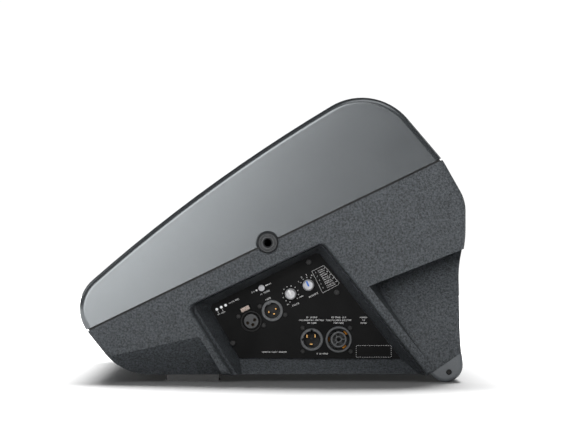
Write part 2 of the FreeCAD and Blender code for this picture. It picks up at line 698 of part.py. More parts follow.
def build_rear_cabinet(block, hollow, below, bores):
    """The rear moulding: grained body with recess, grips, front facet and feet seats."""
    wall = value("wall")
    floor = value("recess_depth")
    back = floor + value("floor_thickness")
    core_corners = offset_corners(RIM, [0, 0, -4, -5])
    recess_core = prism(core_corners, -1, back)
    grip_core, chin_core, heel_core = grip_shape(wall), chin_shape(wall), heel_cut(wall)
    cores = [recess_core]
    cuts = [recess_shape()]
    for core, cut in ((grip_core, grip_shape(0)), (chin_core, chin_shape(0)), (heel_core, heel_cut(0))):
        cores += [core, core.mirror(Vector(0, 0, 0), Vector(0, 1, 0))]
        cuts += [cut, cut.mirror(Vector(0, 0, 0), Vector(0, 1, 0))]
    bosses = cylinders(boss_points(), "boss_rad", "-seam_gap / 2 - boss_height", "-seam_gap / 2", on_seam())
    cavity = hollow.Shape.cut(cores + [bosses])
    # the way through the recess floor for everything behind the panel, with lugs for its screws
    opening = prism(offset_corners(PANEL, [3, 3, 3, 3]), floor - 1, back + 1)
    lugs = [Part.makeCylinder(rad, back + 2 - floor, Vector(x, -HALF_WIDTH + floor - 1, z), Vector(0, 1, 0))
            for (x, z), rad in zip(PANEL_SCREWS, PANEL_LUGS)]
    opening = opening.cut(lugs)
    cuts += [opening, bores.Shape]
    cuts += [Part.makeCylinder(1.55, 9, Vector(x, -HALF_WIDTH + floor - 1, z), Vector(0, 1, 0))
             for x, z in PANEL_SCREWS]
    cuts.append(cylinders(boss_points(), "boss_hole_rad", "-25", "0", on_seam()))
    for side in (-1, 1):
        foot = Vector(value("front_foot_x"), side * value("front_foot_y"), 0)
        cuts.append(Part.makeCylinder(2.05, 14, foot))
        heel_screw = Vector(value("foot_screw_x"), side * (HALF_WIDTH - value("rear_foot_width") + 1),
                            value("foot_screw_z"))
        cuts.append(Part.makeCylinder(1.6, 13, heel_screw, Vector(0, -side, 0)))
    blank = boolean("Common", "rear_blank", block, below)
    hollowed = boolean("Cut", "rear_hollowed", blank, solid_feature("rear_cavity", cavity))
    tool = solid_feature("rear_openings", cuts[0].fuse(cuts[1:]))
    boolean("Cut", "rear_cabinet", hollowed, tool)


def build_seam_screws():
    """Screws from inside the rear moulding into the front moulding."""
    name = "shell_screws"
    body = new_body(name, on_seam())
    points = boss_points()
    head_low = "-seam_gap / 2 - boss_height - screw_head_height"
    discs(body, points, "screw_head_rad", head_low, "screw_head_height")
    discs(body, points, "screw_rad", "-seam_gap / 2 - boss_height", "boss_height + seam_gap / 2 + 12")
    discs(body, points, "screw_rad / 2", head_low, 1.4, cut=True, reverse=True)


def build_grille():
    """The bowed grille sheet, the foam behind it and its screws."""
    for name, drop, thickness, edge in (("grille", "grille_inset", "grille_thickness", 1.2),
                                        ("grille_foam", "grille_inset + grille_thickness + 0.2",
                                         "foam_thickness", 2)):
        body = new_body(name + "_sheet", on_baffle())
        half = "(mouth_half_length - %s)" % edge
        outer = "(bow_rad - (%s))" % drop
        inner = "(%s - %s)" % (outer, thickness)
        centre = "baffle_drop - bow_rad"
        height = "%s + sqrt(%s ^ 2 - %s ^ 2)"
        outer_end, inner_end = height % (centre, outer, half), height % (centre, inner, half)
        sketch = new_sketch(body, "XZ_Plane")
        draw(sketch, [("-1 * " + half, inner_end, "-" + inner), (half, inner_end),
                      (half, outer_end, outer), ("-1 * " + half, outer_end)])
        width = "(mouth_half_width - %s)" % edge
        pad(body, sketch, "2 * " + width, symmetric=True)
        plan = new_body(name + "_plan", on_baffle())
        draw(new_sketch(plan, "XY_Plane"), rounded_rectangle(half, width, "(mouth_corner - %s)" % edge))
        pad(plan, plan.Group[0], 40)
        hole = "post_rad + 0.5" if name == "grille_foam" else 2.1
        discs(plan, end_posts() + middle_posts(), hole, 50, 60, cut=True)
        boolean("Common", name, body, plan)
    screws = new_body("grille_screws", on_baffle())
    for points, seat in ((end_posts(), "post_end_seat"), (middle_posts(), "post_middle_seat")):
        discs(screws, points, 3.6, seat, 1.8)
        discs(screws, points, 1.5, seat + " - 12", 12)
        discs(screws, points, 1, seat + " + 0.8", 2, cut=True, reverse=True)


def build_ports():
    """Two flared bass ports beside the driver."""
    outline = [("port_rad - port_wall", "-port_length"), ("port_rad", "-port_length"),
               ("port_rad", "baffle_top"), ("port_flange_rad", "baffle_top"), ("port_flange_rad", 0),
               ("port_rad + 2", 1.5), ("port_rad - port_wall", -5)]
    shapes = []
    for side in (-1, 1):
        tube = turned("port_tube_%d" % (side + 2), outline, on_baffle(0, side * value("port_y")))
        shapes.append(tube)
    made = doc.addObject("Part::Compound", "port_tubes")
    made.Links = shapes
    doc.recompute()


def build_inserts():
    """Threaded bushes on the joint line; each bears on the inside of both mouldings."""
    outline = [("thread_rad", "-thread_depth"), ("insert_rad + 2", "-thread_depth"), ("insert_rad + 2", -13),
               ("insert_flange_rad", -13), ("insert_flange_rad", "-wall"), ("insert_rad", "-wall"),
               ("insert_rad", -1.5), ("insert_rad - 1", -0.5), ("collar_rad + 1.8", -0.5),
               ("collar_rad + 1.2", -1.7), ("collar_rad + 0.5", -1.7), ("collar_rad", -0.7),
               ("thread_rad + 0.9", -0.7), ("thread_rad", -1.8)]
    for name, side in (("yoke_insert_left", -1), ("yoke_insert_right", 1)):
        place = Placement(Vector(value("insert_x"), side * HALF_WIDTH, value("insert_z")),
                          Rotation(Vector(1, 0, 0), -90 * side))
        turned(name, outline, place)


def build_feet():
    """Front pads under the floor face and corner feet at the heel, with their screws."""
    half, width = "front_foot_length / 2", "front_foot_width"
    pads, heels = [], []
    for side in (-1, 1):
        foot = new_body("front_foot_%d" % (side + 2),
                        Placement(Vector(value("front_foot_x"), side * value("front_foot_y"), 0), Rotation()))
        sketch = new_sketch(foot, "XZ_Plane")
        draw(sketch, [("-%s + 0.6" % half, 0), ("%s - 0.6" % half, 0), (half, 0.5), (half, 1.2),
                      ("%s - 1.2" % half, 1.6), ("%s - 0.4" % half, "base_z"),
                      ("-%s + 0.4" % half, "base_z"), ("-%s + 1.2" % half, 1.6), ("-" + half, 1.2),
                      ("-" + half, 0.5)])
        pad(foot, sketch, width, symmetric=True)
        discs(foot, [(0, 0)], 2.2, 0, 10, cut=True, reverse=True)
        discs(foot, [(0, 0)], 4.6, 0, 3, cut=True, reverse=True)
        pads.append(foot)
        heel = new_body("rear_foot_%d" % (side + 2))
        sketch = new_sketch(heel, "XZ_Plane", side * -(HALF_WIDTH - value("rear_foot_width") / 2))
        draw(sketch, [("rear_foot_tip_x", "rear_foot_tip_z"),
                      ("rear_foot_x - rear_foot_rad * cos(45)", "rear_foot_rad * (1 - sin(45))",
                       "rear_foot_rad"),
                      ("rear_foot_x + rear_foot_rad", "rear_foot_rad", 45),
                      ("heel_edge_x", "heel_edge_z")])
        pad(heel, sketch, "rear_foot_width", symmetric=True)
        outer = side * HALF_WIDTH
        soften(heel, 4, lambda edge: flat_at(outer, "y")(edge) and edge.BoundBox.ZMax < 20)
        heels.append(heel)
    screw_x, screw_z = value("foot_screw_x"), value("foot_screw_z")
    heads = []
    for side, heel in zip((-1, 1), heels):
        place = Placement(Vector(screw_x, side * HALF_WIDTH, screw_z), Rotation(Vector(1, 0, 0), -90 * side))
        bore = turned("heel_bore_%d" % (side + 2), [(0, -65), (1.6, -65), (1.6, -2.4), (2.9, -2.4),
                                                  (2.9, 2), (0, 2)], place)
        tip = "-heel_screw_length"
        screw = turned("heel_screw_%d" % (side + 2), [(0, tip), (1.55, tip), (1.55, -2.4), (2.7, -2.4),
                                                    (2.7, -0.9), (1.9, -0.3), (0, -0.3)], place)
        cross_recess(screw, [(0, 0)], -0.2, 1.2)
        heads.append(screw)
        boolean("Cut", "heel_drilled_%d" % (side + 2), heel, bore)
    for side in (-1, 1):
        place = Placement(Vector(value("front_foot_x"), side * value("front_foot_y"), 0), Rotation())
        heads.append(turned("pad_screw_%d" % (side + 2), [(0, 1), (4, 1), (4, 3), (2, 3), (2, 13), (0, 13)],
                            place))
    groups = {"front_feet": pads, "foot_screws": heads,
              "rear_feet": [doc.getObject("heel_drilled_1"), doc.getObject("heel_drilled_3")]}
    for name, links in groups.items():
        made = doc.addObject("Part::Compound", name)
        made.Links = links
    doc.recompute()


# ---------------------------------------------------------------- panel and connectors

def panel_plate(name, inset, thickness, offset, holes):
    """A plate of the panel's outline, with round holes (points, radius)."""
    body = new_body(name, on_panel(0, 0))
    sketch = new_sketch(body, "XY_Plane", offset)
    corners = offset_corners(PANEL, [inset] * 4)
    draw(sketch, [(corner.x, corner.y) for corner in corners])
    pad(body, sketch, thickness)
    upper = (corners[0], corners[3])
    soften(body, "panel_corner", lambda edge: edge.BoundBox.ZLength > 0.9 * value(thickness)
           and min(math.dist((edge.CenterOfMass.x, edge.CenterOfMass.y), (at.x, at.y)) for at in upper) < 1)
    for points, radius in holes:
        discs(body, points, radius, "%s + %s + 1" % (offset, thickness), 10, cut=True)
    return body


def build_panel():
    at = lambda *names: [(value(name + "_x"), value(name + "_z")) for name in names]
    plate = panel_plate("panel_blank", 0.4, "panel_thickness", "-panel_thickness", [
        (at("xlr_in", "xlr_out"), "xlr_rad + 0.3"), (at("ac_in"), "ac_in_rad - 0.4"),
        (at("ac_out"), "ac_out_rad - 0.4"), (at("level", "preset"), 3.7),
        (at("filter"), "filter_rad + 0.3"), (LEDS, 1.5),
        (XLR_SCREWS + AC_SCREWS + PANEL_SCREWS, 1.6)])
    slot = new_body("latch_slot", on_panel("xlr_in_x", "xlr_in_z", "label_tilt"))
    width, height = "(latch_width / 2 + 0.4)", "(latch_height / 2 + 0.4)"
    box_on(slot, "XY_Plane", "-1 * " + width, width, "latch_offset - " + height, "latch_offset + " + height,
           -12, 24)
    boolean("Cut", "panel_plate", plate, slot)
    seal = panel_plate("panel_gasket_sheet", 0.6, "panel_seal", "-panel_thickness - panel_seal",
                       [(PANEL_SCREWS, 1.8)])
    hole = solid_feature("panel_gasket_hole", prism(offset_corners(PANEL, [3, 3, 3, 3]), 0, 60).cut(
        [Part.makeCylinder(rad, 80, Vector(x, -HALF_WIDTH - 5, z), Vector(0, 1, 0))
         for (x, z), rad in zip(PANEL_SCREWS, PANEL_LUGS)]))
    boolean("Cut", "panel_gasket", seal, hole)
    pan_screws("panel_screws", PANEL_SCREWS, value("panel_head"), 9)
    pan_screws("connector_screws", XLR_SCREWS + AC_SCREWS, value("small_head"), 4.6)
    lenses = new_body("status_leds", on_panel(0, 0))
    discs(lenses, LEDS, 1.4, "-board_depth", "board_depth + 0.6")
    soften(lenses, 0.6, flat_at(0.6))


def cross_recess(body, points, level, depth):
    """The driver's cross in a screw head, cut down from a level of the body's Z."""
    for x, y in points:
        arms = (value("cross_long"), value("cross_short"))
        for half_x, half_y in (arms, arms[::-1]):
            box_on(body, "XY_Plane", x - half_x, x + half_x, y - half_y, y + half_y, level, depth, cut=True)


def pan_screws(name, points, head, reach):
    """Small pan-head screws with a cross recess, driven into the panel's face."""
    body = new_body(name, on_panel(0, 0))
    discs(body, points, head, 0, 1.5)
    discs(body, points, 1.5, 0, reach, reverse=True)
    cross_recess(body, points, 1.6, 1)
    soften(body, 0.6, lambda edge: flat_at(1.5)(edge) and abs(edge.BoundBox.XLength - 2 * head) < 0.01)


def mounting_plate(body, screws, half_x, half_y):
    """The plate behind the panel that a connector's screws bite into."""
    box_on(body, "XY_Plane", "-1 * %s" % half_x, half_x, "-1 * %s" % half_y, half_y,
           "-panel_thickness", 3, reverse=True)
    discs(body, screws, 1.55, 0, 12, cut=True)


def local(x, z, points, tilt=0):
    """Panel points in the frame of a connector at (x, z) turned by tilt."""
    turn = math.radians(-value(tilt))
    moved = []
    for px, pz in points:
        dx, dz = px - value(x), pz - value(z)
        moved.append((dx * math.cos(turn) - dz * math.sin(turn), dx * math.sin(turn) + dz * math.cos(turn)))
    return moved


def build_xlr():
    """The signal input socket with its latch, and the signal output plug."""
    back = "-board_depth"
    floor = "%s + xlr_floor" % back
    tilt = "label_tilt"

    def barrel(name, place, bore, screws):
        """A flanged cup with a mounting plate behind the panel."""
        shell = turned(name, [
            (bore, floor), (0, floor), (0, back), ("xlr_rad", back), ("xlr_rad", 0),
            ("xlr_flange_rad", 0), ("xlr_flange_rad", 0.7), ("xlr_flange_rad - 0.5", 1.2), (bore, 1.2)], place)
        mounting_plate(shell, screws, "xlr_plate_half_x", "xlr_plate_half_y")
        discs(shell, [(0, 0)], bore, 2, "board_depth + 2 - xlr_floor", cut=True)
        return shell

    place = on_panel("xlr_in_x", "xlr_in_z", tilt)
    barrel("xlr_input_shell", place, "xlr_bore_rad",
           local("xlr_in_x", "xlr_in_z", XLR_SCREWS[:2], tilt))
    insert = new_body("xlr_input_insert", place)
    contacts = local("xlr_in_x", "xlr_in_z", XLR_IN_CONTACTS, tilt)
    discs(insert, [(0, 0)], "xlr_insert_rad", floor, "board_depth - xlr_floor - 0.4")
    soften(insert, 0.5, flat_at(-0.4))
    discs(insert, contacts, 1.7, 0, 12, cut=True)
    sockets = new_body("xlr_input_contacts", place)
    discs(sockets, contacts, 1.6, -12, 6)
    discs(sockets, contacts, 1.15, 0, 10, cut=True)
    latch = new_body("xlr_latch", place)
    box_on(latch, "XY_Plane", "-latch_width / 2", "latch_width / 2", "latch_offset - latch_height / 2",
           "latch_offset + latch_height / 2", -5, 7)
    soften(latch, 1.2, lambda edge: edge.BoundBox.ZLength > 6)
    soften(latch, 0.6, flat_at(2))
    place = on_panel("xlr_out_x", "xlr_out_z", tilt)
    plug = barrel("xlr_link_shell", place, "xlr_plug_bore_rad",
                  local("xlr_out_x", "xlr_out_z", XLR_SCREWS[2:], tilt))
    key = "xlr_plug_bore_rad - 1.1"
    box_on(plug, "XY_Plane", -1.6, 1.6, key, "xlr_plug_bore_rad + 0.5", floor, "board_depth - 4")
    points = local("xlr_out_x", "xlr_out_z", XLR_OUT_PINS, tilt)
    holder = new_body("xlr_link_insert", place)
    discs(holder, [(0, 0)], "xlr_plug_bore_rad - 0.1", floor, 2.5)
    box_on(holder, "XY_Plane", -1.9, 1.9, "xlr_plug_bore_rad - 1.4", "xlr_plug_bore_rad + 1", 0,
           "board_depth", cut=True)
    discs(holder, points, 1.25, 0, "board_depth", cut=True)
    pins = new_body("xlr_link_pins", place)
    discs(pins, points, 1.2, floor, "board_depth - 5")
    soften(pins, 0.8, flat_at(-2))


def build_mains():
    """The locking mains inlet and the mains link outlet."""
    place = on_panel("ac_in_x", "ac_in_z")
    bore = "(ac_in_rad - 3.1)"
    inlet = turned("ac_input_shell", [
        (bore, "ac_floor"), (0, "ac_floor"), (0, "ac_back"), ("ac_in_rad - 0.8", "ac_back"),
        ("ac_in_rad - 0.8", 0), ("ac_in_rad", 0), ("ac_in_rad", 1), ("ac_in_rad - 0.6", 1.6),
        (bore + " + 0.6", 1.6), (bore, 1)], place)
    mounting_plate(inlet, local("ac_in_x", "ac_in_z", AC_SCREWS[:2]),
                   11.6, "ac_plate_half_y")
    discs(inlet, [(0, 0)], bore, 2, 23, cut=True)
    for turn in (90, 180):
        angle = math.radians(turn)
        discs(inlet, [(9.2 * math.cos(angle), 9.2 * math.sin(angle))], 1.3, 2, 20, cut=True)
    core = new_body("ac_input_core", place)
    discs(core, [(0, 0)], bore + " - 0.2", "ac_floor", "ac_core_height")
    discs(core, [(0, 0)], 1.3, "ac_floor + ac_core_height", 7)
    blades = new_body("ac_input_blades", place)
    for x, z, half_x, half_z in ((-4.8, 3, 0.5, 1.5), (3.4, 3.3, 0.5, 1.5), (-0.6, -5, 1.4, 0.5)):
        box_on(blades, "XY_Plane", x - half_x, x + half_x, z - half_z, z + half_z,
               "ac_floor + ac_core_height", 9)
    place = on_panel("ac_out_x", "ac_out_z")
    bore = "(ac_out_rad - 2.4)"
    outlet = turned("ac_output_shell", [
        (bore, "ac_floor"), (0, "ac_floor"), (0, "ac_back"), ("ac_out_rad - 0.8", "ac_back"),
        ("ac_out_rad - 0.8", 0), ("ac_out_rad", 0), ("ac_out_rad", 1), ("ac_out_rad - 0.6", 1.6),
        (bore + " + 0.6", 1.6), (bore, 1)], place)
    mounting_plate(outlet, local("ac_out_x", "ac_out_z", AC_SCREWS[2:]),
                   "ac_plate_half_x", "ac_plate_half_y")
    discs(outlet, [(0, 0)], bore, 2, 23, cut=True)
    core = turned("ac_output_core", [
        (2.3, -3), (2.3, "ac_floor"), (8.3, "ac_floor"), (8.3, -0.6), (7.9, 0), (6.5, 0),
        (6.5, -15), (3.3, -15), (3.3, -3)], place)
    spoke = box_on(core, "XY_Plane", 3, 7, -0.55, 0.55, -15, 11)
    around(core, spoke, 3)
    contacts = new_body("ac_output_contacts", place)
    for turn in (45, -53, 180):
        angle = math.radians(turn)
        discs(contacts, [(9.7 * math.cos(angle), 9.7 * math.sin(angle))], 1.1, "ac_floor", 16)


def build_controls():
    """Level and preset knobs with their stems, the filter button, and what they turn or press."""
    knobs = (("level", "level_pot", 0.9), ("preset", "preset_switch", 1.0))
    for name, device, plinth in knobs:
        place = on_panel(name + "_x", name + "_z", "label_tilt")
        knob = turned(name + "_knob", [
            (0, -11), ("shaft_rad", -11), ("shaft_rad", plinth), ("knob_rad", plinth),
            ("knob_rad", plinth + 1.6), ("knob_rad - 0.5", plinth + 2.2),
            ("knob_rad - 0.8", "knob_height"), ("knob_rad - 1.3", "knob_height + 0.6"),
            (0, "knob_height + 0.6")], place)
        box_on(knob, "XY_Plane", -0.45, 0.45, 1.2, "knob_rad - 0.9", "knob_height + 1", 1, cut=True)
        holder = new_body(device, place)
        box_on(holder, "XY_Plane", -7.6, 7.6, -7.6, 7.6, "-board_depth", 11.4)
        discs(holder, [(0, 0)], 3.5, -5, 5.6)
        discs(holder, [(0, 0)], "shaft_rad + 0.05", 2, 13.6, cut=True)
    place = on_panel("filter_x", "filter_z", "label_tilt")
    button = turned("filter_button", [
        (0, -13), (1.5, -13), (1.5, -5), ("filter_rad", -5), ("filter_rad", 1.8),
        ("filter_rad - 0.5", 2.3), (0, 2.3)], place)
    switch = new_body("filter_switch", place)
    box_on(switch, "XY_Plane", -3.9, 3.9, -3.9, 3.9, "-board_depth", "board_depth - 7.6")
    discs(switch, [(0, 0)], 1.55, 0, 15.4, cut=True)
    board = new_body("control_board", on_panel(0, 80, "label_tilt"))
    box_on(board, "XY_Plane", -60, 52, -26, 24, "-board_depth", "board_thickness", reverse=True)


# ---------------------------------------------------------------- amplifier

def block(name, low, high):
    """A plain rectangular body between two corners in the wedge's frame."""
    body = new_body(name)
    box_on(body, "XY_Plane", low[0], high[0], low[1], high[1], low[2], high[2] - low[2])
    return body


def build_amplifier():
    """Chassis, heat sink, circuit board and the larger things on it."""
    chassis = block("amp_chassis", (-20, -184, 30), (86, -95, 32))
    box_on(chassis, "XY_Plane", 84, 86, -213, -95, 30, 32)
    box_on(chassis, "XY_Plane", 86, 92, -213, -211, 34, 18)
    discs(chassis, [(-13, -177), (-13, -102), (77, -177), (77, -102)], 3, 32, 5)
    sink = block("heatsink", (86, -200, 34), (90, -100, 62))
    for number in range(7):
        start = -198 + number * 16
        box_on(sink, "XY_Plane", 90, 112, start, start + 2.5, 34, 28)
    board = block("amp_board", (-18, -182, 37), (82, -97, 38.6))
    caps = new_body("capacitors")
    points = [(-4, -165), (-4, -139), (-4, -113), (22, -165)]
    discs(caps, points, 11, 38.6, 32)
    soften(caps, 1.2, flat_at(70.6))
    core = block("transformer", (38, -150, 38.6), (72, -114, 72))
    box_on(core, "XY_Plane", 44, 66, -158, -106, 44, 22)
    devices = new_body("power_devices")
    for number in range(4):
        y = -176 + number * 20
        box_on(devices, "XY_Plane", 79.4, 84, y, y + 14, 42, 18)


# ---------------------------------------------------------------- driver

def build_woofer():
    """The woofer: basket, gasket, screws, cone, suspension, coil and motor, in the baffle frame."""
    place = on_baffle()
    base = "motor_top + 3"
    basket = turned("woofer_basket", [
        (41, "motor_top"), (64, "motor_top"), (64, -71), (137, -2), (140.6, -2), (140.6, 0),
        ("frame_rad", 0), ("frame_rad", "frame_thickness"), (139, "frame_thickness"), (139, 1), (131, 1),
        (131, -3), (62, -68), (58, -68), (58, base), (41, base)], place)
    window = new_sketch(basket, "XY_Plane", -8)
    inner, outer, half = 74, 122, 21
    side, rise = math.cos(math.radians(half)), math.sin(math.radians(half))
    draw(window, [(inner * side, -inner * rise), (outer * side, -outer * rise, outer),
                  (outer * side, outer * rise), (inner * side, inner * rise, -inner)])
    around(basket, pocket(basket, window, 60), 6)
    discs(basket, bolt_points(), 2.55, 6, 8, cut=True)
    gasket = turned("woofer_gasket", [(141, "baffle_top"), ("frame_rad", "baffle_top"), ("frame_rad", 0),
                                      (141, 0)], place)
    discs(gasket, bolt_points(), 2.8, 2, 6, cut=True)
    screws = new_body("woofer_screws", place)
    discs(screws, bolt_points(), 4.5, "frame_thickness", 3)
    discs(screws, bolt_points(), 2.5, -13, 17)
    soften(screws, 1, lambda edge: flat_at(7)(edge))
    discs(screws, bolt_points(), 1.6, 8, 3, cut=True)
    turned("surround", [(131.4, 1), (138.6, 1), (138.6, 2.2), (130.4, 2.2, 9.6), (111.8, 2.2),
                        (106.2, 2.2), (106.2, 1), (112.4, 1), (113, 2.2, -8.4), (129.2, 2.2)], place)
    turned("woofer_cone", [("cone_rad", 0), ("cone_rad", 1), (105.5, 1), ("coil_rad + 0.2", -54.8),
                           ("coil_rad + 0.2", -57.2), (40.2, -57.2), (105.9, 0)], place)
    wave_start, wave_step, wave_low, wave_rise, thickness = 39.2, 3.1, -67.4, 1.5, 0.6
    waves = [(wave_start + step * wave_step, wave_low + wave_rise * (step % 2)) for step in range(7)]
    upper = [(radius, height + thickness) for radius, height in reversed(waves)]
    turned("spider", waves + [(61.6, wave_low - thickness), (61.6, wave_low)] + upper, place)
    turned("voice_coil", [("coil_rad - coil_wall", "coil_bottom"), ("coil_rad", "coil_bottom"),
                          ("coil_rad", "coil_top"), ("coil_rad - coil_wall", "coil_top")], place)
    top_low = "motor_top - plate_thickness"
    magnet_low = "(%s - magnet_height)" % top_low
    turned("top_plate", [("coil_rad + 1", top_low), ("motor_rad", top_low), ("motor_rad", "motor_top"),
                         ("coil_rad + 1", "motor_top")], place)
    turned("magnet", [("coil_rad + 5", magnet_low), ("motor_rad - 1", magnet_low),
                      ("motor_rad - 1", top_low), ("coil_rad + 5", top_low)], place)
    turned("pole_plate", [("throat_rad", magnet_low + " - back_thickness"),
                          ("motor_rad", magnet_low + " - back_thickness"), ("motor_rad", magnet_low),
                          ("pole_rad", magnet_low), ("pole_rad", "motor_top + 1"),
                          ("throat_rad", "motor_top + 1")], place)


def build_tweeter():
    """The high-frequency horn in front of the pole and the compression driver behind it."""
    place = on_baffle()
    foot = value("motor_top + 1")
    throat, mouth, top = value("throat_rad"), value("horn_rad"), value("horn_top")
    steps, wall = 8, 2
    inner = []
    for step in range(steps + 1):
        share = step / steps
        inner.append((throat + (mouth - wall - throat) * share ** 2.2, foot + (top - foot) * share))
    outer = [(radius + wall, height) for radius, height in reversed(inner)]
    outer[-1] = (outer[-1][0], foot + 3)
    turned("hf_horn", inner + outer[:-1] + [(30, foot + 3), (30, foot)], place)
    back = value("motor_top - plate_thickness - magnet_height - back_thickness")
    turned("hf_plate", [("throat_rad", back), ("throat_rad", back - 26), (21, back - 26), (21, back - 8),
                        ("hf_rad", back - 8), ("hf_rad", back)], place)
    turned("hf_magnet", [(25, back - 8), (25, back - 22), ("hf_rad", back - 22), ("hf_rad", back - 8)], place)
    turned("hf_diaphragm", [(0, back - 29), (14, back - 29), (23, back - 27.6), (23, back - 25),
                            (23.6, back - 25), (23.6, back - 28.2), (14, back - 30), (0, back - 30)], place)
    turned("hf_cover", [(0, back - 36), (36, back - 36), ("hf_rad", back - 33), ("hf_rad", back - 22),
                        (27, back - 22), (27, back - 33), (0, back - 33)], place)


build_enclosure()
build_seam_screws()
build_grille()
build_ports()
build_inserts()
build_feet()
build_panel()
build_xlr()
build_mains()
build_controls()
build_amplifier()
build_woofer()
build_tweeter()
block("damping_wadding", (158, -120, 40), (172, 120, 150))

NODES = [
    "rear_cabinet", "front_shell", "shell_gasket", "shell_screws", "grille", "grille_foam",
    "grille_screws", "port_tubes", "yoke_insert_left", "yoke_insert_right", "front_feet", "rear_feet",
    "foot_screws", "panel_plate", "panel_gasket", "panel_screws", "xlr_input_shell", "xlr_input_insert",
    "xlr_input_contacts", "xlr_latch", "xlr_link_shell", "xlr_link_insert", "xlr_link_pins",
    "connector_screws", "ac_input_shell", "ac_input_core", "ac_input_blades", "ac_output_shell",
    "ac_output_core", "ac_output_contacts", "status_leds", "level_knob", "level_pot",
    "preset_knob", "preset_switch", "filter_button", "filter_switch", "control_board",
    "amp_chassis", "heatsink", "amp_board", "capacitors", "transformer",
    "power_devices", "woofer_basket", "woofer_gasket", "woofer_screws", "surround", "woofer_cone",
    "spider", "voice_coil", "top_plate", "magnet", "pole_plate", "hf_horn", "hf_plate",
    "hf_magnet", "hf_diaphragm", "hf_cover", "damping_wadding",
]


def export_nodes():
    """Check every object, then write each named node to its own STEP file."""
    failed = [made.Name for made in doc.Objects if {"Invalid", "Error"} & set(made.State)]
    if failed:
        raise RuntimeError("failed objects: " + ", ".join(failed))
    os.makedirs("parts", exist_ok=True)
    for name in NODES:
        shape = doc.getObject(name).Shape
        if shape.isNull() or not shape.isValid():
            raise RuntimeError(name + " has no valid shape")
        shape.exportStep("parts/%s.step" % name)


doc.recompute()
export_nodes()
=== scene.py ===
"""Stage monitor wedge: materials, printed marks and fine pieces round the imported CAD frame.

Lengths are metres. +Z is up, the connector panel faces -Y and the grille faces up and towards -X.
"""

import json
import math
import random

import bmesh
import bpy
from mathutils import Matrix, Quaternion, Vector, noise
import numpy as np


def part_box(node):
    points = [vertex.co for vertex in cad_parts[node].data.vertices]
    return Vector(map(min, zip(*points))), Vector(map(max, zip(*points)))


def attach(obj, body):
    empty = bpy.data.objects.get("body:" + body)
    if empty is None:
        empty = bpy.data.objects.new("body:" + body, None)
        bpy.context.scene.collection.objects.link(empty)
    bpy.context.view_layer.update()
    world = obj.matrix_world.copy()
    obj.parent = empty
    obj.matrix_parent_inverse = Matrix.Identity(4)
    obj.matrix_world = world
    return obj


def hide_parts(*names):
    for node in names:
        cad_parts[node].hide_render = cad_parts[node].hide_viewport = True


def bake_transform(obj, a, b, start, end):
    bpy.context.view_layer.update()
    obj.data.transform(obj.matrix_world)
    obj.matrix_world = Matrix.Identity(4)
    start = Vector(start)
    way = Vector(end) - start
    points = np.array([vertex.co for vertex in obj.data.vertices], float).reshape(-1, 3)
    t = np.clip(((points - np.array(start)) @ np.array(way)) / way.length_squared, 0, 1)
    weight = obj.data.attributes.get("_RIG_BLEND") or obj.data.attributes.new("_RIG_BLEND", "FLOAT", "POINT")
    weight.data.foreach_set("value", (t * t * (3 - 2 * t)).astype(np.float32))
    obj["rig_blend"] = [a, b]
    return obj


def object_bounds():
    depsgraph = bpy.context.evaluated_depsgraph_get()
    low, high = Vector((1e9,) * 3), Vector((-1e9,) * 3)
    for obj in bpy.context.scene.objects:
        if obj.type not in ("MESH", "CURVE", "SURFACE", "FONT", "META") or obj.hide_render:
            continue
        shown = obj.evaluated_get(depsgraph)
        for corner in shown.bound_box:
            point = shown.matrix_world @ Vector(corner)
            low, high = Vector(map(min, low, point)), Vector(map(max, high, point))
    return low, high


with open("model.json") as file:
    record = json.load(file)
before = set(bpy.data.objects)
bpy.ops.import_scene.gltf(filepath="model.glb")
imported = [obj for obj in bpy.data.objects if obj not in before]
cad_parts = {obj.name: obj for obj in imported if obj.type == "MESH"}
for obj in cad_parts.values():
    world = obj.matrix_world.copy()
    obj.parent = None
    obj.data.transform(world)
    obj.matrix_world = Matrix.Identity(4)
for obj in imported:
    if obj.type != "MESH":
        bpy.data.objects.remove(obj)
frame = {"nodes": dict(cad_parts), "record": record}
cad_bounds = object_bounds()

MM = 0.001
LABEL_TILT = math.radians(26)
PRESET_TURNS = (-45, -15, 15, 45)
record = frame["record"]
random.seed(7)


# ---------------------------------------------------------------- reading the frame

def middle(node):
    """Centre of a CAD node's box."""
    low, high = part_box(node)
    return (low + high) / 2


def joint_axis(name):
    """Direction of a joint's travel or turn, from the record."""
    joint = [item for item in record["behaviour"]["joints"] if item["name"] == name][0]
    return Vector(joint["axis"]).normalized()


def reach(node, axis, origin=Vector()):
    """Lowest and highest place of a CAD node along an axis, from an origin."""
    places = [(vertex.co - origin).dot(axis) for vertex in frame["nodes"][node].data.vertices]
    return min(places), max(places)


# the baffle frame: OUT leaves the grille, UP runs along the baffle towards the rear
OUT = joint_axis("cone_travel")
UP = Vector((OUT.z, 0, -OUT.x))
SIDE = Vector((0, 1, 0))
PANEL_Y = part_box("panel_plate")[0].y


def baffle_place(origin):
    """A place whose local X is UP, local Y is SIDE and local Z is OUT."""
    turn = Matrix((UP, SIDE, OUT)).transposed()
    return Matrix.Translation(origin) @ turn.to_4x4()


def panel_place(x, z, tilt=0.0, lift=0.0):
    """A place on the panel's face: local X to the right, local Y up, local Z out of the panel."""
    turn = Matrix.Rotation(math.radians(90), 4, "X") @ Matrix.Rotation(tilt, 4, "Z")
    return Matrix.Translation((x, PANEL_Y - lift, z)) @ turn


def on_node(node, tilt=LABEL_TILT, lift=0.0):
    """A panel place at the middle of a node."""
    centre = middle(node)
    return panel_place(centre.x, centre.z, tilt, lift)


# ---------------------------------------------------------------- materials

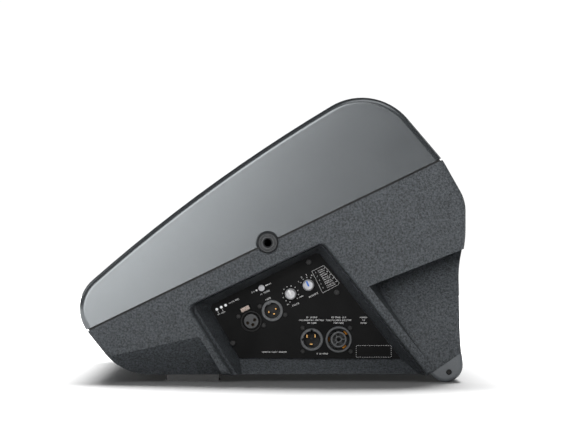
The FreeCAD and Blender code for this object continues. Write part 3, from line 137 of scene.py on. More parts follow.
def texture(tree, kind, scale, stretch=(1, 1, 1), **settings):
    """A procedural texture in object coordinates. Scale is features per metre."""
    coordinates = tree.nodes.new("ShaderNodeTexCoord")
    mapping = tree.nodes.new("ShaderNodeMapping")
    mapping.inputs["Scale"].default_value = stretch
    tree.links.new(coordinates.outputs["Object"], mapping.inputs["Vector"])
    made = tree.nodes.new("ShaderNodeTex" + kind)
    made.inputs["Scale"].default_value = scale
    for name, number in settings.items():
        if name in made.inputs:
            made.inputs[name].default_value = number
        else:
            setattr(made, name, number)
    tree.links.new(mapping.outputs["Vector"], made.inputs["Vector"])
    return made


def ramp(tree, source, stops):
    """A colour ramp over a texture's value."""
    made = tree.nodes.new("ShaderNodeValToRGB")
    elements = made.color_ramp.elements
    while len(elements) < len(stops):
        elements.new(0.5)
    for element, (place, colour) in zip(elements, stops):
        element.position = place
        element.color = (*colour, 1)
    tree.links.new(source, made.inputs["Fac"])
    return made.outputs["Color"]


def spread(tree, source, low, high):
    """A value remapped from 0.3..0.7 to low..high."""
    made = tree.nodes.new("ShaderNodeMapRange")
    for name, number in (("From Min", 0.3), ("From Max", 0.7), ("To Min", low), ("To Max", high)):
        made.inputs[name].default_value = number
    tree.links.new(source, made.inputs["Value"])
    return made.outputs["Result"]


def material(name, colour, rough, mottle=0.12, mottle_scale=500, rough_range=0.06, grain="Noise",
             grain_scale=1500, grain_depth=0.1, stretch=(1, 1, 1), wear=0.0, **constants):
    """A surface with colour variation, uneven gloss and a fine relief.

    mottle is the share by which the colour varies, grain_depth the height of the relief in mm, and
    wear how far broad scuffs lighten the colour. Constants are sockets of the shader.
    """
    made = bpy.data.materials.new(name)
    made.use_nodes = True
    tree = made.node_tree
    shader = tree.nodes["Principled BSDF"]
    for socket, number in constants.items():
        shader.inputs[socket.replace("_", " ")].default_value = number
    speckle = texture(tree, "Noise", mottle_scale, stretch, Detail=3, Roughness=0.65)
    dark = [channel * (1 - mottle) for channel in colour]
    light = [min(channel * (1 + mottle), 1) for channel in colour]
    tone = ramp(tree, speckle.outputs["Fac"], [(0.35, dark), (0.65, light)])
    if wear:
        scuff = texture(tree, "Noise", 14, (1, 1, 1), Detail=6, Roughness=0.7)
        mask = ramp(tree, scuff.outputs["Fac"], [(0.5, (0, 0, 0)), (0.8, (1, 1, 1))])
        blend = tree.nodes.new("ShaderNodeMix")
        blend.data_type = "RGBA"
        blend.blend_type = "SCREEN"
        scaled = spread(tree, mask, 0, wear)
        tree.links.new(scaled, blend.inputs["Factor"])
        tree.links.new(tone, blend.inputs[6])
        blend.inputs[7].default_value = (0.5, 0.5, 0.5, 1)
        tone = blend.outputs[2]
    tree.links.new(tone, shader.inputs["Base Color"])
    patches = texture(tree, "Noise", 40, (1, 1, 1), Detail=4)
    gloss = spread(tree, patches.outputs["Fac"], rough - rough_range, rough + rough_range)
    tree.links.new(gloss, shader.inputs["Roughness"])
    relief = texture(tree, grain, grain_scale, stretch)
    bump = tree.nodes.new("ShaderNodeBump")
    bump.inputs["Strength"].default_value = 1
    bump.inputs["Distance"].default_value = grain_depth * MM
    height = relief.outputs["Distance" if grain == "Voronoi" else "Fac"]
    tree.links.new(height, bump.inputs["Height"])
    tree.links.new(bump.outputs["Normal"], shader.inputs["Normal"])
    return made


def grey(level, cool=0.0):
    """A neutral colour, or a cool one whose red is lower and blue higher by the share cool."""
    return (level * (1 - cool), level, level * (1 + cool))


FINISHES = {
    "cabinet_plastic": material("grained_cabinet", grey(0.06, 0.1), 0.6, mottle=0.55,
                                mottle_scale=520, grain="Voronoi", grain_scale=620, grain_depth=0.6,
                                Specular_IOR_Level=0.3),
    "shell_plastic": material("satin_shell", grey(0.034, 0.1), 0.25, mottle=0.05, mottle_scale=900,
                              grain_scale=1900, grain_depth=0.04, rough_range=0.008,
                              IOR=1.7, Specular_IOR_Level=1,
                              Specular_Tint=(0.92, 0.97, 1, 1)),
    "seal_rubber": material("black_seal", grey(0.012), 0.7, grain_depth=0.05),
    "zinc_screw": material("zinc_plated", (0.6, 0.6, 0.57), 0.32, Metallic=1, grain_depth=0.02),
    "black_screw": material("black_screw", grey(0.008), 0.4, Specular_IOR_Level=0.3, grain_depth=0.02),
    "grille_steel": material("grille_paint", grey(0.022), 0.45, mottle=0.15, grain_scale=2600,
                             grain_depth=0.06),
    "grille_foam": material("open_foam", grey(0.02), 0.95, mottle=0.5, mottle_scale=900,
                            grain="Voronoi", grain_scale=1100, grain_depth=0.6),
    "port_plastic": material("port_plastic", grey(0.03), 0.5),
    "insert_metal": material("insert_coating", grey(0.035, 0.05), 0.34, Metallic=0.3, grain_depth=0.05),
    "foot_rubber": material("pad_rubber", grey(0.016, 0.04), 0.5, mottle=0.15, grain_depth=0.08),
    "foot_plastic": material("heel_plastic", grey(0.11, 0.08), 0.45, mottle=0.06, grain_depth=0.03),
    "panel_paint": material("panel_paint", grey(0.003, 0.04), 0.6, mottle=0.25, mottle_scale=1500,
                            grain_scale=2500, grain_depth=0.05, Specular_IOR_Level=0.12),
    "connector_black": material("black_moulding", grey(0.004), 0.45, Specular_IOR_Level=0.25,
                                grain_depth=0.03),
    "connector_grey": material("grey_moulding", grey(0.07, 0.05), 0.42, grain_depth=0.03),
    "contact_metal": material("gold_contact", (0.62, 0.36, 0.13), 0.26, Metallic=1, grain_depth=0.01),
    "latch_metal": material("latch_plate", (0.22, 0.18, 0.16), 0.25, Metallic=1, mottle=0.25,
                            grain_depth=0.02),
    "led_lens": material("led_lens", (0.8, 0.82, 0.85), 0.2, mottle=0.02, grain_depth=0.01,
                         Emission_Color=(1, 1, 1, 1), Emission_Strength=0.25),
    "knob_grey": material("knob_grey", (0.55, 0.55, 0.57), 0.4, mottle=0.04, grain_depth=0.03),
    "circuit_board": material("solder_mask", (0.01, 0.1, 0.04), 0.35, mottle=0.2),
    "aluminium": material("extruded_aluminium", (0.72, 0.73, 0.74), 0.36, Metallic=1,
                          stretch=(1, 0.03, 1), grain_depth=0.03),
    "component_black": material("component_black", grey(0.025), 0.5),
    "capacitor_sleeve": material("capacitor_sleeve", (0.03, 0.035, 0.06), 0.25),
    "transformer_tape": material("transformer_tape", (0.5, 0.38, 0.06), 0.45, stretch=(1, 1, 8)),
    "basket_paint": material("basket_paint", grey(0.025), 0.5, grain_depth=0.15),
    "cone_paper": material("cone_paper", grey(0.03), 0.85, mottle=0.3, grain_depth=0.2),
    "surround_cloth": material("surround_cloth", grey(0.02), 0.7, grain="Voronoi", grain_depth=0.15),
    "spider_cloth": material("spider_cloth", (0.5, 0.32, 0.12), 0.8, grain="Voronoi", grain_depth=0.2),
    "coil_wire": material("coil_wire", (0.7, 0.32, 0.14), 0.35, Metallic=1),
    "motor_steel": material("motor_steel", grey(0.5), 0.4, Metallic=1, grain_depth=0.05),
    "magnet_black": material("magnet_coating", grey(0.04), 0.6, grain_depth=0.12),
    "horn_plastic": material("horn_plastic", grey(0.02), 0.42),
    "diaphragm_metal": material("diaphragm_foil", grey(0.6), 0.3, Metallic=1),
    "wadding": material("wadding_fibre", grey(0.72), 0.95, mottle=0.1, mottle_scale=150,
                        grain_scale=500, grain_depth=0.8, Sheen_Weight=0.4),
    "insert_shade": material("grey_insert", grey(0.045, 0.04), 0.5, grain_depth=0.02),
    # painted shade: the signal input's gold contacts are coloured dark brown for the shade in their sunk
    # holes
    "contact_painted_shade": material("sunk_contact_painted_shade", (0.05, 0.035, 0.02), 0.5, Metallic=0.6, grain_depth=0.01),
    "leaf_copper": material("leaf_copper", (0.5, 0.2, 0.035), 0.35, Metallic=0.35, mottle=0.2,
                            grain_depth=0.02),
    "print_white": material("print_white", grey(0.8), 0.5, mottle=0.04, grain_depth=0.01),
    "print_blue": material("print_blue", (0.02, 0.15, 0.6), 0.45, mottle=0.04, grain_depth=0.01),
}

# nodes whose surface differs from the rest of their slot: the signal input's insert is a little darker grey,
# and its contacts carry painted shade, dark brown in place of gold for the shade in their sunk holes
TONE_AND_PAINTED_SHADE = {"xlr_input_insert": "insert_shade", "xlr_input_contacts": "contact_painted_shade"}

for part in record["subparts"]:
    finish = TONE_AND_PAINTED_SHADE.get(part["node"], part["material_slot"])
    for holder in frame["nodes"][part["node"]].material_slots:
        holder.material = FINISHES[finish]


# ---------------------------------------------------------------- mesh helpers

def add_object(name, data):
    """A new object in the scene."""
    made = bpy.data.objects.new(name, data)
    bpy.context.collection.objects.link(made)
    return made


def piece(name, vertices, faces, finish, body="enclosure", place=None, smooth=None):
    """A mesh piece that rides on a body. smooth is the largest angle that is shaded smooth."""
    mesh = bpy.data.meshes.new(name)
    mesh.from_pydata([tuple(vertex) for vertex in vertices], [], faces)
    if place is not None:
        mesh.transform(place)
    mesh.validate()
    made = add_object(name, mesh)
    mesh.materials.append(FINISHES[finish])
    if smooth is not None:
        mesh.shade_smooth()
        mesh.set_sharp_from_angle(angle=math.radians(smooth))
    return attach(made, body)


def lathe(outline, steps=48, wobble=None):
    """Vertices and faces of a closed (radius, height) outline turned about Z."""
    vertices, faces = [], []
    count = len(outline)
    for step in range(steps):
        turn = 2 * math.pi * step / steps
        for radius, height in outline:
            wide = radius if wobble is None else wobble(radius, height, step)
            vertices.append((wide * math.cos(turn), wide * math.sin(turn), height))
    for step in range(steps):
        here, after = step * count, (step + 1) % steps * count
        for index in range(count):
            other = (index + 1) % count
            faces.append((here + index, after + index, after + other, here + other))
    return vertices, faces


def blocks(boxes, low, high):
    """Vertices and faces of upright blocks over rectangles (x, y, half width, half height, turn)."""
    vertices, faces = [], []
    for x, y, half_x, half_y, turn in boxes:
        start = len(vertices)
        cosine, sine = math.cos(turn), math.sin(turn)
        for level in (low, high):
            for across, along in ((-1, -1), (1, -1), (1, 1), (-1, 1)):
                dx, dy = across * half_x, along * half_y
                vertices.append((x + dx * cosine - dy * sine, y + dx * sine + dy * cosine, level))
        quads = [(3, 2, 1, 0), (4, 5, 6, 7), (0, 1, 5, 4), (1, 2, 6, 5), (2, 3, 7, 6), (3, 0, 4, 7)]
        faces += [tuple(start + corner for corner in quad) for quad in quads]
    return vertices, faces


# ---------------------------------------------------------------- grille and foam

def sheet_frame(node):
    """Origin, half length, half width and crest of a bowed sheet, in the baffle frame."""
    centre = middle(node)
    along = reach(node, UP, centre)
    across = reach(node, SIDE, centre)
    crest = reach(node, OUT, centre)[1]
    half = (along[1] - along[0]) / 2
    origin = centre + UP * (along[0] + along[1]) / 2
    return origin, half, (across[1] - across[0]) / 2, crest


BOW_RADIUS = 1.614
# height of a row of hexagonal cells, as a share of the pitch
ROW_SHARE = 0.866


def bowed(x, y, depth, crest):
    """A point of the bowed surface: depth below the outer face at place (x, y)."""
    drop = BOW_RADIUS - math.sqrt(BOW_RADIUS ** 2 - x ** 2)
    return (x, y, crest - drop - depth)


def inside(x, y, half_x, half_y, corner):
    """True inside a rectangle with round corners."""
    dx, dy = abs(x) - (half_x - corner), abs(y) - (half_y - corner)
    if dx > 0 and dy > 0:
        return math.hypot(dx, dy) < corner
    return dx < corner and dy < corner


def build_grille():
    """Perforated steel: hexagonal cells with six-sided holes inside a plain folded rim."""
    origin, half_x, half_y, crest = sheet_frame("grille")
    thickness = 1.5 * MM
    pitch, hole, rim, corner = 6.4 * MM, 2.55 * MM, 7 * MM, 19 * MM
    vertices, faces = [], []
    rows = int(2 * half_y / (pitch * ROW_SHARE)) + 2
    columns = int(2 * half_x / pitch) + 2
    cell = pitch / math.sqrt(3)
    for row in range(rows):
        y = -half_y + row * pitch * ROW_SHARE
        for column in range(columns):
            x = -half_x + (column + 0.5 * (row % 2)) * pitch
            if not inside(x, y, half_x - rim + 2 * MM, half_y - rim + 2 * MM, corner - rim):
                continue
            start = len(vertices)
            for depth in (0, thickness):
                for radius in (cell, hole):
                    for number in range(6):
                        turn = math.radians(60 * number + 30)
                        vertices.append(bowed(x + radius * math.cos(turn), y + radius * math.sin(turn),
                                              depth, crest))
            for number in range(6):
                after = (number + 1) % 6
                faces.append((start + number, start + after, start + 6 + after, start + 6 + number))
                faces.append((start + 12 + after, start + 12 + number, start + 18 + number,
                              start + 18 + after))
                faces.append((start + 6 + number, start + 6 + after, start + 18 + after,
                              start + 18 + number))
    ring_vertices, ring_faces = rim_band(half_x, half_y, rim, corner, crest, thickness)
    base = len(vertices)
    vertices += ring_vertices
    faces += [tuple(base + index for index in face) for face in ring_faces]
    made = piece("grille_mesh", vertices, faces, "grille_steel",
                 place=baffle_place(origin), smooth=40)
    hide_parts("grille")


def rounded_loop(half_x, half_y, corner, steps=8):
    """Points round a rectangle with round corners, with extra points along the long sides."""
    points = []
    for number, (x, y) in enumerate(((1, 1), (-1, 1), (-1, -1), (1, -1))):
        centre = (x * (half_x - corner), y * (half_y - corner))
        for step in range(steps + 1):
            turn = math.radians(90 * (number + step / steps))
            points.append((centre[0] + corner * math.cos(turn), centre[1] + corner * math.sin(turn)))
        if y == 1 and x == 1 or y == -1 and x == -1:
            span = half_x - corner
            points += [(x * span * (1 - 2 * step / 24), y * half_y) for step in range(1, 24)]
    return points


def rim_band(half_x, half_y, rim, corner, crest, thickness):
    """The unperforated rim of the grille, a little proud of the cells, with a turned-down edge."""
    levels = [(rim, thickness + 0.05 * MM), (rim, -0.05 * MM), (0.8 * MM, -0.05 * MM), (0, 0.7 * MM),
              (0, thickness + 2.5 * MM), (1.2 * MM, thickness + 2.5 * MM)]
    vertices, faces = [], []
    for inset, depth in levels:
        loop = rounded_loop(half_x - inset, half_y - inset, corner - inset)
        vertices += [bowed(x, y, depth, crest) for x, y in loop]
    count = len(loop)
    for level in range(len(levels)):
        after = (level + 1) % len(levels)
        for index in range(count):
            other = (index + 1) % count
            faces.append((level * count + index, level * count + other, after * count + other,
                          after * count + index))
    return vertices, faces


def build_foam():
    """Open foam behind the grille: a bowed sheet with a slightly uneven face and soft edges."""
    origin, half_x, half_y, crest = sheet_frame("grille_foam")
    thickness, step = 6 * MM, 4 * MM
    half_x, half_y = half_x - 0.5 * MM, half_y - 0.5 * MM
    columns, rows = int(2 * half_x / step), int(2 * half_y / step)
    vertices, faces = [], []
    for side in (0, 1):
        for row in range(rows + 1):
            for column in range(columns + 1):
                x = -half_x + 2 * half_x * column / columns
                y = -half_y + 2 * half_y * row / rows
                edge = min(half_x - abs(x), half_y - abs(y))
                soft = 2.2 * MM * max(0, 1 - edge / (5 * MM)) ** 2
                lump = 0.35 * MM * noise.noise(Vector((x, y, side)) * 120)
                depth = 0.4 * MM + soft + abs(lump) if side == 0 else thickness - soft - 0.2 * MM
                vertices.append(bowed(x, y, depth, crest))
    layer = (rows + 1) * (columns + 1)
    for row in range(rows):
        for column in range(columns):
            corner = row * (columns + 1) + column
            quad = (corner, corner + 1, corner + columns + 2, corner + columns + 1)
            faces.append(quad)
            faces.append(tuple(layer + index for index in reversed(quad)))
    border = list(range(columns))
    border += [row * (columns + 1) + columns for row in range(rows)]
    border += [rows * (columns + 1) + column for column in range(columns, 0, -1)]
    border += [row * (columns + 1) for row in range(rows, 0, -1)]
    for here, after in zip(border, border[1:] + border[:1]):
        faces.append((after, here, layer + here, layer + after))
    made = piece("foam_sheet", vertices, faces, "grille_foam",
                 place=baffle_place(origin), smooth=60)
    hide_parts("grille_foam")


# ---------------------------------------------------------------- driver

def radial_blend(made, centre, inner, outer):
    """Let the inner edge of a ring follow the cone while its outer edge stays on the basket."""
    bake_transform(made, "enclosure", "woofer_cone", start=centre, end=centre + OUT * 0.01)
    weights = made.data.attributes["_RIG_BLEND"].data
    for vertex, weight in zip(made.data.vertices, weights):
        offset = vertex.co - centre
        radius = (offset - OUT * offset.dot(OUT)).length
        share = min(max((outer - radius) / (outer - inner), 0), 1)
        weight.value = share * share * (3 - 2 * share)


# node, name, rolls, cloth, inner radius, flat edge, room above and lift of the base, in mm
SUSPENSION = (
    ("surround", "surround_roll", 1, 0.6, 106.4, 5, 1.4, 1.2),
    ("spider", "spider_web", 5, 0.5, 39.3, 1, 0, 0),
)


def build_suspension():
    """The half-roll surround and the corrugated spider, which bend as the cone travels."""
    for node, name, rolls, thick, *sizes in SUSPENSION:
        inner, flat, room, lift = [size * MM for size in sizes]
        centre = middle(node)
        outer = reach(node, SIDE, centre)[1]
        low, high = reach(node, OUT, centre)
        height = (high - low) - thick * MM - room
        base = low + lift
        steps = 14 * rolls
        top, bottom = [], []
        for step in range(steps + 1):
            share = step / steps
            radius = inner + flat + (outer - inner - 2 * flat) * share
            wave = abs(math.sin(math.pi * rolls * share))
            rise = wave if rolls == 1 else wave ** 2
            bottom.append((radius, base + height * rise))
            top.append((radius, base + height * rise + thick * MM))
        outline = [(inner, base)] + bottom + [(outer, base), (outer, base + thick * MM)]
        outline += top[::-1] + [(inner, base + thick * MM)]
        vertices, faces = lathe(outline, steps=96)
        made = piece(name, vertices, faces, node + "_cloth",
                     place=baffle_place(centre), smooth=50)
        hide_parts(node)
        matrix = made.matrix_world.copy()
        made.parent = None
        made.matrix_world = matrix
        radial_blend(made, centre, inner + flat, outer - flat)


# ---------------------------------------------------------------- panel print

def words(x, y, lengths, height=1.3, gap=1.1):
    """Rows of small upright blocks that stand for a line of print, centred at (x, y), in mm."""
    total = sum(lengths) + gap * (len(lengths) - 1)
    place = x - total / 2
    marks = []
    for length in lengths:
        count = max(1, round(length / (0.78 * height)))
        width = length / count
        for number in range(count):
            left = place + width * number
            marks.append((left + width * 0.22, y, width * 0.09, height / 2, 0))
            marks.append((left + width * 0.5, y + height * random.choice((0.44, 0, -0.44)),
                          width * 0.26, height * 0.07, 0))
            if random.random() < 0.6:
                tall = height * random.choice((0.5, 0.36))
                marks.append((left + width * 0.76, y, width * 0.08, tall, 0))
        place += length + gap
    return marks


def print_marks(name, place, marks, finish="print_white", body="enclosure", low=0.02, high=0.09):
    """Flat printed marks on the panel. Marks are in mm in the place's frame."""
    scaled = [(x * MM, y * MM, half_x * MM, half_y * MM, turn) for x, y, half_x, half_y, turn in marks]
    vertices, faces = blocks(scaled, low * MM, high * MM)
    return piece(name, vertices, faces, finish, body=body, place=place)


def stroke(start, end, width):
    """A straight line of print between two points, in mm."""
    dx, dy = end[0] - start[0], end[1] - start[1]
    length = math.hypot(dx, dy)
    return ((start[0] + end[0]) / 2, (start[1] + end[1]) / 2, (length + width) / 2, width / 2,
            math.atan2(dy, dx))


def dial_dots(radius, turns, size):
    """Round dots on a dial, as pairs of crossed blocks."""
    dots = []
    for turn in turns:
        angle = math.radians(90 - turn)
        x, y = radius * math.cos(angle), radius * math.sin(angle)
        dots += [(x, y, size / 2, size / 4, angle), (x, y, size / 4, size / 2, angle)]
    return dots


# first caption line above the mains connectors, and the step to the next, in mm
CAPTION_TOP, CAPTION_STEP = 22.5, 2.85


def build_print():
    """Dials, short lines of blocks in place of lettering, frames and rules."""
    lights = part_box("status_leds")
    led = panel_place(lights[1].x - 1.4 * MM, lights[1].z - 1.4 * MM, LABEL_TILT)
    marks = words(9.6, 0.1, [6, 4.6], 1.4)
    marks += [(-4.9, -3.1, 0.17, 1, 0), (-9.9, -3.1, 0.17, 1, 0)] + words(-7.4, -5.4, [3, 4.2], 1.3)
    print_marks("print_lights", led, marks)
    marks = words(-9.4, 0.2, [3.6], 1.3) + [(-5.6, 0.2, 0.9, 0.75, 0), (6, 0.4, 1.5, 0.45, 0)]
    marks += words(9.4, 0.2, [3], 1.3) + words(1.2, -5.6, [2.4, 6.6], 1.6)
    print_marks("print_filter", on_node("filter_button"), marks)
    print_marks("print_link", on_node("xlr_link_pins"), words(1.6, 13.4, [5.6], 1.7))
    level = dial_dots(8.1, range(-150, 151, 30), 1) + words(0, -11.8, [7.6], 1.8)
    level += words(-7, -8.3, [2], 1.2) + words(8.6, -7.2, [4.4], 1.3)
    print_marks("print_level", on_node("level_knob"), level)
    preset = dial_dots(7.9, PRESET_TURNS, 0.9) + words(0.4, -11.3, [10], 1.8)
    corners = [(9.4, 11.1), (22.9, 11), (29.1, -11.4), (27.6, -12.8), (9.6, -13.5)]
    preset += [stroke(start, end, 0.2) for start, end in zip(corners, corners[1:] + corners[:1])]
    for row in range(5):
        y = 8.4 - 4.3 * row
        preset += words(12.3, y, [0.8], 1.1) + words(19 + 0.8 * row, y, [5.2 + 0.9 * row, 2], 1.1)
        preset += words(18.4 + 0.6 * row, y - 1.9, [6.4 + 0.8 * row], 1)
    print_marks("print_preset", on_node("preset_knob"), preset)
    lines = []
    upright = middle("ac_input_shell")
    for node, lengths in (("ac_input_shell", ([2.6, 7.4], [15, 9.6], [3, 5])),
                          ("ac_output_shell", ([2.6, 6.4, 4], [15, 9.6], [4, 5]))):
        x = (middle(node).x - upright.x) / MM
        lines += [mark for number, widths in enumerate(lengths)
                  for mark in words(x, CAPTION_TOP - CAPTION_STEP * number, widths, 1.5)]
    lines += [mark for number, width in enumerate((7.6, 3, 6.4))
              for mark in words(52.4, CAPTION_TOP - CAPTION_STEP * number, [width], 1.5)]
    lines += words(10.6, -14.3, [2, 2, 5.6], 1.5)
    low, high = (45, -17.8), (80.5, -6.1)
    for number in range(20):
        x = low[0] + (high[0] - low[0]) * (number + 0.5) / 20
        lines += [(x, y, 0.45, 0.14, 0) for y in (low[1], high[1])]
    for number in range(6):
        y = low[1] + (high[1] - low[1]) * (number + 0.5) / 6
        lines += [(x, y, 0.14, 0.45, 0) for x in (low[0], high[0])]
    lines += words(-38, -12.6, [9, 6, 8], 1.4)
    print_marks("print_mains", panel_place(upright.x, upright.z), lines)
    build_numerals()


def build_numerals():
    """The numbers 1 to 4 round the preset dial."""
    for number, turn in enumerate(PRESET_TURNS, 1):
        angle = math.radians(90 - turn)
        curve = bpy.data.curves.new("numeral", "FONT")
        curve.body = str(number)
        curve.size = 2.5 * MM
        curve.extrude = 0.04 * MM
        curve.align_x = "CENTER"
        curve.align_y = "CENTER"
        shown = add_object("numeral_source", curve)
        bpy.context.view_layer.update()
        mesh = bpy.data.meshes.new_from_object(shown)
        bpy.data.objects.remove(shown)
        radius = 10.3 * MM
        offset = Matrix.Translation((radius * math.cos(angle), radius * math.sin(angle), 0.06 * MM))
        mesh.transform(on_node("preset_knob") @ offset)
        made = add_object("preset_numeral_%d" % number, mesh)
        mesh.materials.clear()
        mesh.materials.append(FINISHES["print_white"])
        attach(made, "enclosure")


# ---------------------------------------------------------------- controls and connectors

def build_knobs():
    """Fluted knobs with a dished cap and a coloured pointer."""
    for body, finish in (("level_knob", "print_white"), ("preset_knob", "print_blue")):
        low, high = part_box(body)
        wide, tall = (high.x - low.x) / 2, PANEL_Y - low.y
        stem = high.y - PANEL_Y
        skirt = 1.1 * MM

        def fluted(radius, height, step):
            grip = 1.6 * MM < height < tall - 0.8 * MM and radius > 0.7 * wide
            return radius - (0.32 * MM if grip and step % 4 < 2 else 0)

        outline = [(0.01 * MM, -stem), (2.9 * MM, -stem), (2.9 * MM, skirt), (wide, skirt),
                   (wide, skirt + 1.1 * MM), (wide - 0.5 * MM, skirt + 1.7 * MM),
                   (wide - 0.75 * MM, tall - 1.2 * MM), (wide - 1.1 * MM, tall - 0.4 * MM),
                   (wide - 1.7 * MM, tall - 0.05 * MM), (wide - 2.4 * MM, tall - 0.35 * MM),
                   (0.01 * MM, tall - 0.45 * MM)]
        vertices, faces = lathe(outline, steps=96, wobble=fluted)
        made = piece(body + "_cap", vertices, faces, "knob_grey", body=body,
                     place=on_node(body), smooth=35)
        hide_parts(body)
        reach_out = wide / MM - 0.9
        marks = [(0, (reach_out - 0.6) / 2, 0.85, (reach_out + 0.2) / 2, 0), (0, -0.6, 0.6, 0.5, 0)]
        top = tall / MM
        print_marks(body + "_pointer", on_node(body), marks, finish, body, top - 0.5, top - 0.02)


def build_latch_ribs():
    """Finger ribs on the latch of the signal input."""
    low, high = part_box("xlr_latch")
    centre = (low + high) / 2
    out = PANEL_Y - low.y
    marks = [(0, level, 3.4, 0.28, 0) for level in (-1.3, -0.4, 0.5, 1.4)]
    place = panel_place(centre.x, centre.z, LABEL_TILT)
    print_marks("latch_ribs", place, marks, "latch_metal", "xlr_latch", out / MM - 0.05, out / MM + 0.3)


def build_contact_leaves():
    """Sprung copper leaves inside the mains outlet."""
    centre = middle("ac_output_core")
    vertices, faces = [], []
    for turn, top in ((45, 0), (-53, 0), (180, -9)):
        start = len(vertices)
        steps = 8
        for step in range(steps + 1):
            angle = math.radians(turn - 13 + 26 * step / steps)
            for radius, height in ((8.75, -17), (10.5, -17), (10.5, top - 0.6), (9.9, top),
                                   (8.75, top - 1.4)):
                vertices.append((radius * MM * math.cos(angle), radius * MM * math.sin(angle),
                                 height * MM))
        for step in range(steps):
            for index in range(5):
                other = (index + 1) % 5
                faces.append((start + step * 5 + index, start + step * 5 + other,
                              start + step * 5 + 5 + other, start + step * 5 + 5 + index))
        faces.append(tuple(start + index for index in reversed(range(5))))
        faces.append(tuple(start + steps * 5 + index for index in range(5)))
    made = piece("contact_leaves", vertices, faces, "leaf_copper",
                 place=panel_place(centre.x, centre.z), smooth=35)
    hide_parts("ac_output_contacts")


def build_threads():
    """Thread ridges inside both bushes."""
    for node in ("yoke_insert_left", "yoke_insert_right"):
        low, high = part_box(node)
        centre = (low + high) / 2
        outward = -1 if centre.y < 0 else 1
        mouth = low.y if outward < 0 else high.y
        pitch, core, ridges, start = 1.5 * MM, 4.25 * MM, 14, -2.2 * MM
        outline = []
        for ridge in range(ridges):
            height = start - ridge * pitch
            outline += [(core, height), (core - 0.55 * MM, height - pitch / 2)]
        outline.append((core, start - ridges * pitch))
        outline += [(core + 0.05 * MM, outline[-1][1]), (core + 0.05 * MM, start)]
        vertices, faces = lathe(outline, steps=40)
        turn = Matrix.Rotation(math.radians(-90 * outward), 4, "X")
        place = Matrix.Translation((centre.x, mouth, centre.z)) @ turn
        piece(node + "_thread", vertices, faces, "insert_metal", place=place, smooth=30)


def build_wadding():
    """A soft, uneven pad of wadding behind the driver."""
    low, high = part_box("damping_wadding")
    mesh = bmesh.new()
    bmesh.ops.create_cube(mesh, size=1)
    bmesh.ops.subdivide_edges(mesh, edges=mesh.edges, cuts=14, use_grid_fill=True)
    size, centre = high - low, (high + low) / 2
    for vertex in mesh.verts:
        share = vertex.co * 2
        pinch = 1 - 0.12 * (abs(share.y) ** 4 + abs(share.z) ** 4)
        place = Vector((vertex.co.x * size.x * pinch, vertex.co.y * size.y, vertex.co.z * size.z)) * 0.97
        lump = noise.noise_vector((place + centre) * 45) * 2.2 * MM
        vertex.co = centre + place + lump
        for axis in range(3):
            vertex.co[axis] = min(max(vertex.co[axis], low[axis]), high[axis])
    data = bpy.data.meshes.new("wadding_pad")
    mesh.to_mesh(data)
    mesh.free()
    data.materials.append(FINISHES["wadding"])
    data.shade_smooth()
    made = add_object("wadding_pad", data)
    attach(made, "enclosure")
    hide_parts("damping_wadding")


build_grille()
build_foam()
build_suspension()
build_print()
build_knobs()
build_latch_ribs()
build_contact_leaves()
build_threads()
build_wadding()


# ---------------------------------------------------------------- floor, light and camera

def build_floor():
    """A pale floor whose glow grows from 0.45 m to full at 1.4 m, to meet the white background."""
    mesh = bpy.data.meshes.new("floor")
    half = 3.5
    corners = [(-half, -half, 0), (half, -half, 0), (half, half, 0), (-half, half, 0)]
    mesh.from_pydata(corners, [], [(0, 1, 2, 3)])
    floor = add_object("floor", mesh)
    pale = material("pale_floor", grey(0.86), 0.8, mottle=0.01, grain_depth=0.01,
                    Emission_Color=(1, 1, 1, 1))
    mesh.materials.append(pale)
    tree = pale.node_tree
    distance = tree.nodes.new("ShaderNodeVectorMath")
    distance.operation = "LENGTH"
    glow = tree.nodes.new("ShaderNodeMapRange")
    for name, number in (("From Min", 0.45), ("From Max", 1.4), ("To Max", 1.0)):
        glow.inputs[name].default_value = number
    tree.links.new(tree.nodes.new("ShaderNodeTexCoord").outputs["Object"], distance.inputs[0])
    tree.links.new(distance.outputs["Value"], glow.inputs["Value"])
    tree.links.new(glow.outputs["Result"], tree.nodes["Principled BSDF"].inputs["Emission Strength"])
    return floor


def receivers(name, shown, state="INCLUDE"):
    """A collection that limits a light to some objects, or keeps it off them."""
    made = bpy.data.collections.new(name)
    for item in shown:
        made.objects.link(item)
    for entry in made.collection_objects:
        entry.light_linking.link_state = state
    return made


def area_light(name, place, target, size, power, lit, blockers=None, roll=0):
    """A soft light that the camera doesn't see, turned towards a target and rolled in degrees."""
    data = bpy.data.lights.new(name, "AREA")
    data.shape = "RECTANGLE"
    data.size, data.size_y = size
    data.energy = power
    light = add_object(name, data)
    light.location = place
    light.rotation_mode = "QUATERNION"
    aim = (Vector(target) - Vector(place)).to_track_quat("-Z", "Y")
    light.rotation_quaternion = aim @ Quaternion((0, 0, 1), math.radians(roll))
    light.visible_camera = False
    light.light_linking.receiver_collection = lit
    light.light_linking.blocker_collection = blockers


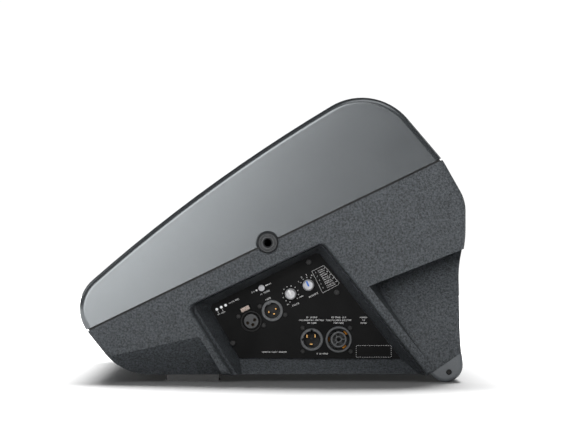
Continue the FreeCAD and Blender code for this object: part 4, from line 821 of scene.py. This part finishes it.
def build_world():
    """White behind the object, and a dim even light round it."""
    world = bpy.data.worlds.new("studio")
    world.use_nodes = True
    tree = world.node_tree
    background = tree.nodes["Background"]
    path = tree.nodes.new("ShaderNodeLightPath")
    strength = tree.nodes.new("ShaderNodeMapRange")
    strength.inputs["To Min"].default_value = 0.06
    strength.inputs["To Max"].default_value = 1.05
    tree.links.new(path.outputs["Is Camera Ray"], strength.inputs["Value"])
    tree.links.new(strength.outputs["Result"], background.inputs["Strength"])
    background.inputs["Color"].default_value = (1, 1, 1, 1)
    bpy.context.scene.world = world


def build_camera():
    """A long lens square to the panel side, a little above the middle of the object."""
    view_width, distance, sensor = 0.570, 3.5, 36
    shift_right, shift_up = 12.4 * MM, 25.8 * MM
    near_side = cad_bounds[0].y
    data = bpy.data.cameras.new("camera")
    data.sensor_width = sensor
    data.lens = sensor * distance / view_width
    camera = add_object("camera", data)
    centre = (cad_bounds[0] + cad_bounds[1]) / 2
    camera.location = (centre.x + shift_right, near_side - distance, centre.z + shift_up)
    camera.rotation_euler = (math.radians(90), 0, 0)
    bpy.context.scene.camera = camera


floor = build_floor()
floor_only = receivers("floor_only", [floor])
all_but_floor = receivers("all_but_floor", [floor], "EXCLUDE")
cabinet_side = receivers("cabinet_side", [floor, frame["nodes"]["front_shell"]], "EXCLUDE")
build_world()
area_light("softbox", (-0.41, -1.3, 0.27), (-0.41, 0, 0.27), (0.6, 1.1), 9.6, all_but_floor, roll=-35)
area_light("front_fill", (0.4, -1.2, 1.9), (0, 0, 0.12), (1.6, 1.2), 10, all_but_floor)
area_light("cabinet_fill", (0.15, -2.2, 0.55), (0.05, -0.26, 0.08), (0.6, 0.6), 5, cabinet_side)
area_light("left_fill", (-2.2, 0.3, 1.3), (0, 0, 0.15), (1.4, 1.4), 6, all_but_floor)
area_light("right_rim", (1.9, 0.9, 0.9), (0.1, 0, 0.15), (0.9, 1.4), 6, all_but_floor)
area_light("back_fill", (0.2, 2.4, 1.2), (0, 0, 0.15), (1.8, 1.2), 12, all_but_floor)
area_light("floor_light", (0, 2.6, 3.2), (0, 0, 0), (3, 2.8), 430, floor_only)
area_light("floor_lift", (0, 0, 3.2), (0, 0, 0), (4.5, 4.5), 12, floor_only, floor_only)
build_camera()
bpy.context.scene.view_settings.view_transform = "Standard"
